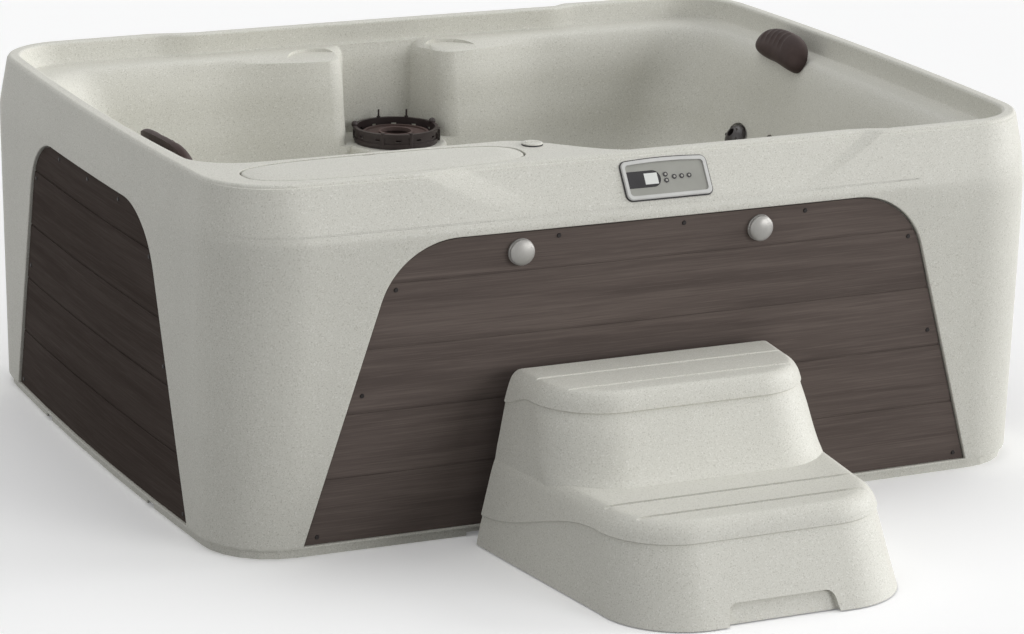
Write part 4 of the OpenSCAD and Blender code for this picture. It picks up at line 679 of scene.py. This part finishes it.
def stepForm(name, d=0, fine=True):
    # rows of front height, back height, half width, depth and corner radius
    half, deep, r = step["half"], step["deep"], step["radius"]
    base = -20 if d else step["pad"]
    lowZ, lipLow, lipTop, top = step["treadLow"], step["lipLow"], step["lipTop"], step["treadTop"]
    gap = 7 if fine else 1
    lower = [(base, base, half + 2, deep, r), (lipLow - 3.2, 62, half - 1.2, deep - 76.2, r - 14)]
    if fine:
        between = [(60, 32, half + 1, deep - 32, r - 6), (120, 52, half - 0.6, deep - 61, r - 12)]
        lower = smoothRun([lower[0], *between, lower[1]], 4)
    lower = list(lower) + smoothRun([
        (lipLow - d, 66 - d, half + 2, deep - 74, r - 14),
        (lowZ - 24 - d, 118 - d, half - 2.5, deep - 78, r - 17),
        (lowZ - 12 - d, lowZ - 14 - d, half - 10, deep - 84.5, r - 22),
        (lowZ - 4 - d, lowZ - 4 - d, half - 20, deep - 93, r - 30),
        (lowZ - 0.8 - d, lowZ - 0.8 - d, half - 29, deep - 101, r - 36),
        (lowZ - d, lowZ - d, half - 38, deep - 110, r - 44)], gap)
    foot = step["topDeep"]
    upper = smoothRun([
        (base, base, half - 10, foot + 170, r - 10),
        (lowZ - 30, lowZ - 30, half - 10, foot + 118, r - 12),
        (lowZ - 2, lowZ - 2, half - 10, foot + 92, r - 13),
        (lowZ + 14, lowZ + 12, half - 10, foot + 74, r - 15),
        (lowZ + 44, lowZ + 34, half - 11, foot + 55, r - 17),
        (lowZ + 88, lowZ + 70, half - 12, foot + 32, r - 20),
        (lipTop - 3.2, lipTop - 28.2, half - 13.2, foot + 5.8, r - 22)], gap)
    upper += smoothRun([
        (lipTop - d, lipTop - 25 - d, half - 10, foot + 9, r - 20),
        (top - 24 - d, top - 38 - d, half - 13, foot + 5.5, r - 23.5),
        (top - 12 - d, top - 13 - d, half - 18.5, foot - 0.5, r - 30),
        (top - 4 - d, top - 4 - d, half - 26, foot - 8, r - 39),
        (top - 0.8 - d, top - 0.8 - d, half - 32, foot - 15, r - 44),
        (top - d, top - d, half - 39, foot - 23, r - 50)], gap)
    form = loft(name, [stepRing(q, d, fine) for q in lower])
    return carve(form, loft("upper", [stepRing(q, d, fine) for q in upper]), operation="UNION")


def gripBlock(g):
    # the hand hold under the step's front, g larger all round
    half, high = step["gripHalf"], step["gripHigh"]
    line = [(half + g, -10), (half + g, 2)]
    for cx, start in ((half - 24, 0), (24 - half, 90)):
        line += [(cx + (20 + g) * math.cos(a), high - 20 + (20 + g) * math.sin(a))
                 for a in np.radians(np.linspace(start, start + 90, 12))]
    line += [(-half - g, 2), (-half - g, -10)]
    deep = step["deep"]
    return loft("grip", [[(x, y, z) for x, z in line] for y in (110 - deep, -50 - deep)])


def treadLine(y, z):
    around = [(y + step["lineWide"] * math.cos(a), z + step["lineUp"] + step["lineDeep"] * math.sin(a))
              for a in fullTurn(20)]
    return loft("line", [[(step["lineHalf"] * t, *spot) for spot in around] for t in np.linspace(-1, 1, 41)])


def buildStep():
    body = stepForm("stepSkin")
    t = step["wall"]
    hollow = carve(stepForm("hollow", t, fine=False), gripBlock(t))
    deep = carve(stepForm("deep", t + 4, fine=False), gripBlock(t + 1), operation="INTERSECT")
    notch = carve(gripBlock(0), stepForm("behind", 4, fine=False))
    carve(body, hollow, deep, notch)
    carve(body, *[treadLine(y, step["treadTop"]) for y in step["topLines"]])
    carve(body, *[treadLine(y, step["treadLow"] - step["lowSink"]) for y in step["lowLines"]])
    for v in body.data.vertices:
        v.co += Vector((step["x"] * 0.001, step["y"] * 0.001, 0))
    softShade(body, 30)
    return body


pillow = {
    "half": 106, "tall": 52, "thick": 36, "ribs": 5, "ribDeep": 3, "swell": 24,
    "y": 266, "z": 706, "off": 1.6, "lean": 28,
    # each one's place from there, its length and thickness against these, how square its ends are
    "right": {"along": 13, "up": 10, "long": 1, "thin": 1, "edge": 2.4, "crown": 4},
    "left": {"along": 15, "up": -3, "long": 1.15, "thin": 0.72, "edge": 5, "crown": 7},
}


def atPillow(side):
    own, y, z = pillow[side], pillow["y"], pillow["z"]
    k, around = (leftPull, 180) if side == "left" else (1, 0)
    swing = -90 + math.degrees(math.atan(2 * tub["bowLong"] * y / (caveY - caveR - cave["ledge"]) ** 2 / k))
    return (turn("Z", around) @ shift(caveFaceX(y, z), y * k, z) @ turn("Z", swing)
            @ turn("X", 90 - pillow["lean"]) @ shift(own["along"], own["up"], pillow["off"]))


def buildPillow(name, side):
    # bean with a flat back and fluted ribs, lofted from one end to the other
    own, tall = pillow[side], pillow["tall"]
    half, thick = pillow["half"] * own["long"], pillow["thick"] * own["thin"]
    rings = []
    for t in np.linspace(-1, 1, 150):
        u = math.copysign(1 - (1 - abs(t)) ** 1.5, t) * 0.996
        hi = tall * math.sqrt(max(0, 1 - abs(u) ** own["edge"])) * (1 - 0.06 * u)
        lobe = 0.5 + 0.22 * float(ease(u + 0.2))
        lo = -tall * math.sqrt(max(0, 1 - abs(u) ** (3 if u < 0 else 6))) * lobe
        mid, rise = (hi + lo) / 2, max(0.5, (hi - lo) / 2)
        crown = thick * max(0.002, 1 - abs(u) ** own["crown"]) ** 0.45

        def spot(up, off):
            # the lower corner reaches further along the wall
            low = pillow["swell"] * float(ease((u + 0.3) / 1.1)) * max(0, -(mid + up) / tall) ** 1.3
            return (u * half + low, mid + up, off)

        ring = []
        for a in np.linspace(0, math.pi, 56):
            v = -math.cos(a)
            w = (u + 0.6 + 0.14 * v - 0.12 * v * v) / 0.92 * pillow["ribs"]
            fade = float(ease((v + 0.35) / 0.5) * ease((1.0 - v) / 0.22))
            rib = abs(math.sin(math.pi * w)) ** 0.45 if 0 < w < pillow["ribs"] else 0
            dip = pillow["ribDeep"] * fade * rib
            ring.append(spot(rise * v, 2 + (crown - 2) * math.sin(a) ** 0.62 * (1 - 0.1 * v) - dip))
        rings.append(ring + [spot(rise * 0.86 * (1 - k / 5), 0) for k in range(1, 10)])
    made = loft(name, rings, atPillow(side))
    softShade(made, 50, weighted=False)
    return made


def mixInto(tree, factor, first, second, kind="MIX"):
    mix = tree.nodes.new("ShaderNodeMix")
    mix.data_type = "RGBA"
    mix.blend_type = kind
    for socket, value in ((mix.inputs[0], factor), (mix.inputs[6], first), (mix.inputs[7], second)):
        if isinstance(value, bpy.types.NodeSocket):
            tree.links.new(value, socket)
        elif isinstance(value, (int, float)):
            socket.default_value = value
        else:
            socket.default_value = (*value, 1)
    return mix.outputs[2]


def noiseField(tree, scale, stretch=(1, 1, 1), detail=3, roughness=0.55, distort=0.0):
    where = tree.nodes.new("ShaderNodeTexCoord")
    place = tree.nodes.new("ShaderNodeMapping")
    place.inputs["Scale"].default_value = stretch
    tree.links.new(where.outputs["Object"], place.inputs["Vector"])
    field = tree.nodes.new("ShaderNodeTexNoise")
    values = {"Scale": scale, "Detail": detail, "Roughness": roughness, "Distortion": distort}
    for key, value in values.items():
        field.inputs[key].default_value = value
    tree.links.new(place.outputs["Vector"], field.inputs["Vector"])
    return field.outputs["Fac"]


def window(tree, value, low, high, outLow=0.0, outHigh=1.0):
    span = tree.nodes.new("ShaderNodeMapRange")
    for key, number in (("From Min", low), ("From Max", high), ("To Min", outLow), ("To Max", outHigh)):
        span.inputs[key].default_value = number
    tree.links.new(value, span.inputs["Value"])
    return span.outputs["Result"]


def setLook(tree, shader, colour, rough, heights, specular=0.5):
    # heights are bumps laid over each other: (height, strength, distance in metres)
    tree.links.new(colour, shader.inputs["Base Color"])
    if isinstance(rough, float):
        shader.inputs["Roughness"].default_value = rough
    else:
        tree.links.new(rough, shader.inputs["Roughness"])
    shader.inputs["Specular IOR Level"].default_value = specular
    normal = None
    for height, strength, distance in heights:
        lump = tree.nodes.new("ShaderNodeBump")
        lump.inputs["Strength"].default_value = strength
        lump.inputs["Distance"].default_value = distance
        tree.links.new(height, lump.inputs["Height"])
        if normal is not None:
            tree.links.new(normal, lump.inputs["Normal"])
        normal = lump.outputs["Normal"]
    tree.links.new(normal, shader.inputs["Normal"])


def startFinish(name, metallic=0.0):
    made = bpy.data.materials.new(name)
    made.use_nodes = True
    shader = made.node_tree.nodes["Principled BSDF"]
    shader.inputs["Metallic"].default_value = metallic
    return made, made.node_tree, shader


def paint(srgb):
    # a screen colour of 0 to 255 as the linear colour that the shader takes
    return tuple(((c / 255 + 0.055) / 1.055) ** 2.4 if c / 255 > 0.04045 else c / 255 / 12.92 for c in srgb)


def rotoPlastic(name, base, fleck, pale):
    # granite-speckled moulded polymer with a fine orange-peel skin
    made, tree, shader = startFinish(name)
    dark = window(tree, noiseField(tree, 420, detail=1.5), 0.56, 0.68)
    light = window(tree, noiseField(tree, 310, (1, 1, 1.05), detail=1.5), 0.57, 0.7)
    cloud = window(tree, noiseField(tree, 3.2, detail=4), 0.3, 0.7, 0.97, 1.02)
    colour = mixInto(tree, dark, paint(base), paint(fleck))
    colour = mixInto(tree, light, colour, paint(pale))
    colour = mixInto(tree, 1.0, colour, cloud, "MULTIPLY")
    rough = window(tree, noiseField(tree, 90, detail=4), 0.3, 0.7, 0.46, 0.58)
    peel, grain = noiseField(tree, 240), noiseField(tree, 900, detail=2)
    setLook(tree, shader, colour, rough, [(peel, 0.16, 0.0006), (grain, 0.1, 0.0002)], 0.35)
    return made


def plankPlastic(name, base, shade, glint):
    # wood-grained polymer boards, their grain running along the wall
    made, tree, shader = startFinish(name)
    broad = noiseField(tree, 1.0, (1.6, 1.6, 26), detail=3, distort=0.6)
    streak = noiseField(tree, 1.0, (7, 7, 420), detail=5, roughness=0.7, distort=0.25)
    fine = noiseField(tree, 1.0, (30, 30, 1500), detail=2)
    colour = mixInto(tree, window(tree, broad, 0.32, 0.68), paint(base), paint(shade))
    colour = mixInto(tree, window(tree, streak, 0.5, 0.72, 0, 0.75), colour, paint(shade))
    colour = mixInto(tree, window(tree, streak, 0.5, 0.3, 0, 0.5), colour, paint(glint))
    rough = window(tree, streak, 0.3, 0.7, 0.66, 0.8)
    setLook(tree, shader, colour, rough, [(streak, 0.32, 0.0008), (fine, 0.2, 0.0003)], 0.01)
    return made


def hardPlastic(name, base, rough, grain=700, depth=0.15, tone=0.12, spec=0.45):
    # moulded part with a fine spark-eroded skin and slight handling marks
    made, tree, shader = startFinish(name)
    soft = noiseField(tree, 14, detail=5)
    base = paint(base)
    worn = tuple(min(1, c * (1 + tone) + 0.004) for c in base)
    deep = tuple(c * (1 - tone) for c in base)
    colour = mixInto(tree, window(tree, soft, 0.35, 0.65), deep, worn)
    rough = window(tree, soft, 0.3, 0.7, rough - 0.08, rough + 0.08)
    setLook(tree, shader, colour, rough, [(noiseField(tree, grain, detail=2), depth, 0.0003)], spec)
    return made


def brushedMetal(name, base, rough, metallic=1.0):
    made, tree, shader = startFinish(name, metallic)
    line = noiseField(tree, 1.0, (900, 900, 20), detail=4)
    soft = noiseField(tree, 30, detail=4)
    base = paint(base)
    colour = mixInto(tree, window(tree, line, 0.3, 0.7), tuple(c * 0.9 for c in base), base)
    gloss = window(tree, soft, 0.3, 0.7, rough - 0.06, rough + 0.08)
    setLook(tree, shader, colour, gloss, [(line, 0.12, 0.0002)])
    return made


def foamSkin(name, base, deep):
    # closed-cell foam with a moulded, slightly leathery skin
    made, tree, shader = startFinish(name)
    pebble = noiseField(tree, 420, detail=4, roughness=0.65)
    cloud = noiseField(tree, 22, detail=4)
    colour = mixInto(tree, window(tree, cloud, 0.35, 0.65), paint(base), paint(deep))
    worn = tuple(1.5 * c for c in paint(base))
    colour = mixInto(tree, window(tree, pebble, 0.55, 0.7, 0, 0.5), colour, worn)
    rough = window(tree, pebble, 0.3, 0.7, 0.42, 0.62)
    setLook(tree, shader, colour, rough, [(pebble, 0.35, 0.0005), (cloud, 0.15, 0.002)], 0.12)
    return made


def boardFoam(name, base):
    made, tree, shader = startFinish(name)
    cells = tree.nodes.new("ShaderNodeTexVoronoi")
    cells.inputs["Scale"].default_value = 330
    where = tree.nodes.new("ShaderNodeTexCoord")
    tree.links.new(where.outputs["Object"], cells.inputs["Vector"])
    base = paint(base)
    beads = cells.outputs["Distance"]
    colour = mixInto(tree, window(tree, beads, 0.0, 0.6), base, tuple(c * 0.86 for c in base))
    setLook(tree, shader, colour, 0.9, [(beads, 0.4, 0.0008)])
    return made


print("finishes")
finishes = {  # colours as they show on a screen, 0 to 255
    "shell": rotoPlastic("speckledPolymer", (211, 210, 201), (186, 184, 174), (225, 224, 217)),
    "planks": plankPlastic("woodgrainPlank", (107, 97, 92), (90, 81, 77), (121, 110, 104)),
    # the end boards are the same boards in darker colours: painted shade, for the less light that falls on the
    # ends
    "endPlanksPaintedShade": plankPlastic("woodgrainEndPlankPaintedShade", (80, 72, 68), (68, 60, 56), (90, 82, 77)),
    "trim": hardPlastic("brownTrim", (50, 41, 40), 0.4, spec=0.4),
    "pillow": foamSkin("pillowFoam", (72, 60, 57), (62, 51, 49)),
    "black": hardPlastic("blackPlastic", (42, 40, 42), 0.42),
    "jetFace": hardPlastic("jetPlastic", (50, 45, 45), 0.3, spec=0.55),
    "keys": hardPlastic("keyRubber", (48, 46, 48), 0.6, 500, 0.2),
    "keyMark": hardPlastic("keyMark", (168, 167, 160), 0.5, tone=0.04),
    "darkFrameLine": hardPlastic("darkFrameLineFinish", (46, 44, 45), 0.6, 500, 0.2),
    "bezel": hardPlastic("bezelPlastic", (205, 205, 202), 0.35, tone=0.04),
    "film": hardPlastic("filmFace", (156, 156, 149), 0.38, tone=0.05),
    "display": hardPlastic("displayTab", (44, 42, 44), 0.25, depth=0.05),
    "glass": hardPlastic("displayWindow", (226, 228, 224), 0.18, depth=0.03, tone=0.03),
    "silver": brushedMetal("satinSilver", (166, 164, 160), 0.4, metallic=0.4),
    "steel": brushedMetal("steel", (176, 177, 178), 0.34),
    "screw": hardPlastic("darkScrew", (46, 42, 41), 0.5, spec=0.2),
    "bucket": hardPlastic("bucketPlastic", (220, 219, 213), 0.4, tone=0.04),
    "foam": boardFoam("boardFoam", (226, 214, 170)),
    "board": hardPlastic("circuitBoard", (40, 96, 62), 0.35),
    "pleats": hardPlastic("pleatedMedia", (84, 68, 64), 0.8, 260, 0.5, tone=0.2),
    "lens": hardPlastic("lampLens", (222, 228, 230), 0.12, depth=0.04, tone=0.03, spec=0.6),
    "motor": hardPlastic("motorPaint", (66, 70, 76), 0.5, 500, 0.3),
    "pipe": hardPlastic("pipePlastic", (224, 224, 220), 0.35, tone=0.04),
    "box": hardPlastic("boxPlastic", (142, 146, 150), 0.5),
    "cover": hardPlastic("coverPlastic", (110, 114, 120), 0.5),
    "pads": hardPlastic("padRubber", (44, 43, 44), 0.75, 300, 0.4),
}
finishOf = {
    "shell": ["tub_shell", "base_pan", "bar_lid", "air_valve_knob", "step_body"],
    # the end panels take the darker copy of the boards, which is painted shade
    "planks": ["front_panel", "back_panel"], "endPlanksPaintedShade": ["left_panel", "right_panel"],
    "trim": ["filter_canister", "filter_guard", "suction_cover"],
    "pillow": ["pillow_right", "pillow_left"],
    "black": ["control_housing", "air_valve_body", "pump_volute", "pump_foot", "drain_outlet", "cord_inlet",
              "light_housing", "pillow_pegs"],
    "jetFace": ["jet_face_right", "jet_face_left", "nozzle_face_right", "nozzle_face_left"],
    "keys": ["button_up", "button_down", "button_jets", "button_light", "button_heat"],
    "bezel": ["control_bezel"], "film": ["control_face"], "display": ["display_tab"],
    "glass": ["display_window"],
    "silver": ["knob_bases", "knob_left", "knob_right", "drain_collar", "jet_bodies", "nozzle_bodies"],
    "steel": ["latch_left", "latch_right", "pump_rotor", "heater_tube"],
    "screw": ["panel_screws"], "bucket": ["ice_bucket"], "foam": ["insulation_boards", "well_support"],
    "board": ["circuit_board"], "pleats": ["filter_cartridge"], "lens": ["light_lens"],
    "motor": ["pump_motor"], "pipe": ["suction_pipe", "return_pipe"], "box": ["equipment_box"],
    "cover": ["equipment_box_cover"], "pads": ["step_pads"],
}
crispAngle = math.radians(28)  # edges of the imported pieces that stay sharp


def dress(thing, finish):
    made = finishes[finish]
    if len(thing.material_slots) == 0:
        thing.data.materials.append(made)
    for holder in thing.material_slots:
        holder.material = made


for finish, names in finishOf.items():
    for name in names:
        dress(nodes[name], finish)
        for face in nodes[name].data.polygons:
            face.use_smooth = True
        crisp = nodes[name].modifiers.new("crisp", "EDGE_SPLIT")
        crisp.split_angle = crispAngle


print("shell")
tubSkin = buildShell()
dress(tubSkin, "shell")
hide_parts("tub_shell")
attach(tubSkin, "tub")

print("step")
stepSkin = buildStep()
dress(stepSkin, "shell")
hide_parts("step_body")
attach(stepSkin, "step")

print("pillows")
for side in ("right", "left"):
    pad = buildPillow("headPillow" + side.capitalize(), side)
    dress(pad, "pillow")
    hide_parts("pillow_" + side)
    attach(pad, "tub")

print("control panel")
# a dark band that shows round the panel's frame, reaching a few millimetres past it
frameLine = {"out": 5, "in": -1, "outRadius": 15, "inRadius": 12, "low": -0.1, "high": 2.2}
outer = [control[k] + frameLine["out"] for k in ("length", "height")]
inner = [control[k] + frameLine["in"] for k in ("length", "height")]
darkFrameLine = carve(softPlate(*outer, frameLine["outRadius"], frameLine["low"], frameLine["high"], atControl()),
               softPlate(*inner, frameLine["inRadius"], -2, 4, atControl()))
darkFrameLine.name = "controlDarkLine"
dress(darkFrameLine, "darkFrameLine")
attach(darkFrameLine, "tub")

# a pale mark on each key, that goes down with it
keys = {"top": 4.6, "mark": 2.4, "rise": 0.25, "sunk": 0.4, "edge": 0.1,
        "spots": {"up": (-1, 6.5), "down": (-1, -6.5), "jets": (18, 0), "light": (35, 0), "heat": (52, 0)}}
for name, (x, y) in keys["spots"].items():
    low, high = keys["top"] - keys["sunk"], keys["top"] + keys["rise"]
    profile = [(0.02, low), (keys["mark"], low), (keys["mark"], high - keys["edge"]), (0.02, high)]
    mark = lathe(name + "KeyMark", profile, 32, atControl() @ shift(x, y, 0))
    dress(mark, "keyMark")
    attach(mark, "button_" + name)


print("camera and light")
camera = {"lens": 133.97, "sensor": 36, "yaw": 25.347, "pitch": 15.693, "roll": 1.018,
          "spot": (-3.4917, -7.4528, 2.5369)}
yaw, pitch, roll = (math.radians(camera[k]) for k in ("yaw", "pitch", "roll"))
ahead = Vector((math.sin(yaw) * math.cos(pitch), math.cos(yaw) * math.cos(pitch), -math.sin(pitch)))
level = Vector((math.cos(yaw), -math.sin(yaw), 0))
above = level.cross(ahead)
across = math.cos(roll) * level + math.sin(roll) * above
above = -math.sin(roll) * level + math.cos(roll) * above
eye = bpy.data.cameras.new("photoCamera")
eye.sensor_width, eye.lens = camera["sensor"], camera["lens"]
eye.clip_start, eye.clip_end = 0.05, 200
eyeObject = bpy.data.objects.new("photoCamera", eye)
spot = Matrix((across, above, -ahead)).transposed().to_4x4()
spot.translation = Vector(camera["spot"])
eyeObject.matrix_world = spot
bpy.context.scene.collection.objects.link(eyeObject)
bpy.context.scene.camera = eyeObject
bpy.context.scene.view_settings.view_transform = "Standard"

lamps = {  # strength, spread, azimuth and height, in degrees
    "topLight": (0.9, 60, 190, 77), "frontLight": (1.48, 34, 38, 9),
    "sideLight": (1.85, 40, 85, 16), "leftLight": (0.42, 50, -75, 20),
}
sky = {"colour": (0.985, 0.99, 1, 1), "strength": 0.275, "seen": (1, 1, 1, 1)}


def sunLamp(name, energy, spread, azimuth, height):
    lamp = bpy.data.lights.new(name, "SUN")
    lamp.energy, lamp.angle = energy, math.radians(spread)
    thing = bpy.data.objects.new(name, lamp)
    a, e = math.radians(azimuth), math.radians(height)
    way = Vector((-math.sin(a) * math.cos(e), math.cos(a) * math.cos(e), -math.sin(e)))
    thing.rotation_mode = "QUATERNION"
    thing.rotation_quaternion = way.to_track_quat("-Z", "Y")
    bpy.context.scene.collection.objects.link(thing)


for name, values in lamps.items():
    sunLamp(name, *values)


def seenOrLit(tree, seen, lit):
    # one shader for what the camera, gloss and glass see, another for what lights the object
    path = tree.nodes.new("ShaderNodeLightPath")
    either = path.outputs["Is Camera Ray"]
    for ray in ("Is Glossy Ray", "Is Transmission Ray"):
        larger = tree.nodes.new("ShaderNodeMath")
        larger.operation = "MAXIMUM"
        tree.links.new(either, larger.inputs[0])
        tree.links.new(path.outputs[ray], larger.inputs[1])
        either = larger.outputs[0]
    mix = tree.nodes.new("ShaderNodeMixShader")
    tree.links.new(either, mix.inputs[0])
    tree.links.new(lit, mix.inputs[1])
    tree.links.new(seen, mix.inputs[2])
    return mix.outputs[0]


world = bpy.data.worlds.new("studio")
bpy.context.scene.world = world
world.use_nodes = True
tree = world.node_tree
lit = tree.nodes["Background"]
lit.inputs["Color"].default_value = sky["colour"]
lit.inputs["Strength"].default_value = sky["strength"]
seen = tree.nodes.new("ShaderNodeBackground")
seen.inputs["Color"].default_value = sky["seen"]
surface = seenOrLit(tree, seen.outputs[0], lit.outputs[0])
tree.links.new(surface, tree.nodes["World Output"].inputs["Surface"])

ground = {"radius": 60, "sides": 64, "seen": (0.99, 0.99, 0.99, 1), "glow": 0.12,
          "lit": (0.42, 0.42, 0.42, 1)}
floorRing = [(ground["radius"] * math.cos(a), ground["radius"] * math.sin(a), 0.0)
             for a in fullTurn(ground["sides"])]
floor = makeMesh("floor", floorRing, [tuple(range(ground["sides"]))], scale=1)
pale, tree, show = startFinish("paleFloor")
show.inputs["Base Color"].default_value = ground["seen"]
show.inputs["Roughness"].default_value = 1.0
show.inputs["Specular IOR Level"].default_value = 0.0
glow = tree.nodes.new("ShaderNodeEmission")
glow.inputs["Color"].default_value = (1, 1, 1, 1)
glow.inputs["Strength"].default_value = ground["glow"]
both = tree.nodes.new("ShaderNodeAddShader")
tree.links.new(show.outputs[0], both.inputs[0])
tree.links.new(glow.outputs[0], both.inputs[1])
dull = tree.nodes.new("ShaderNodeBsdfDiffuse")  # a darker floor for the light that it throws back
dull.inputs["Color"].default_value = ground["lit"]
surface = seenOrLit(tree, both.outputs[0], dull.outputs[0])
tree.links.new(surface, tree.nodes["Material Output"].inputs["Surface"])
floor.data.materials.append(pale)
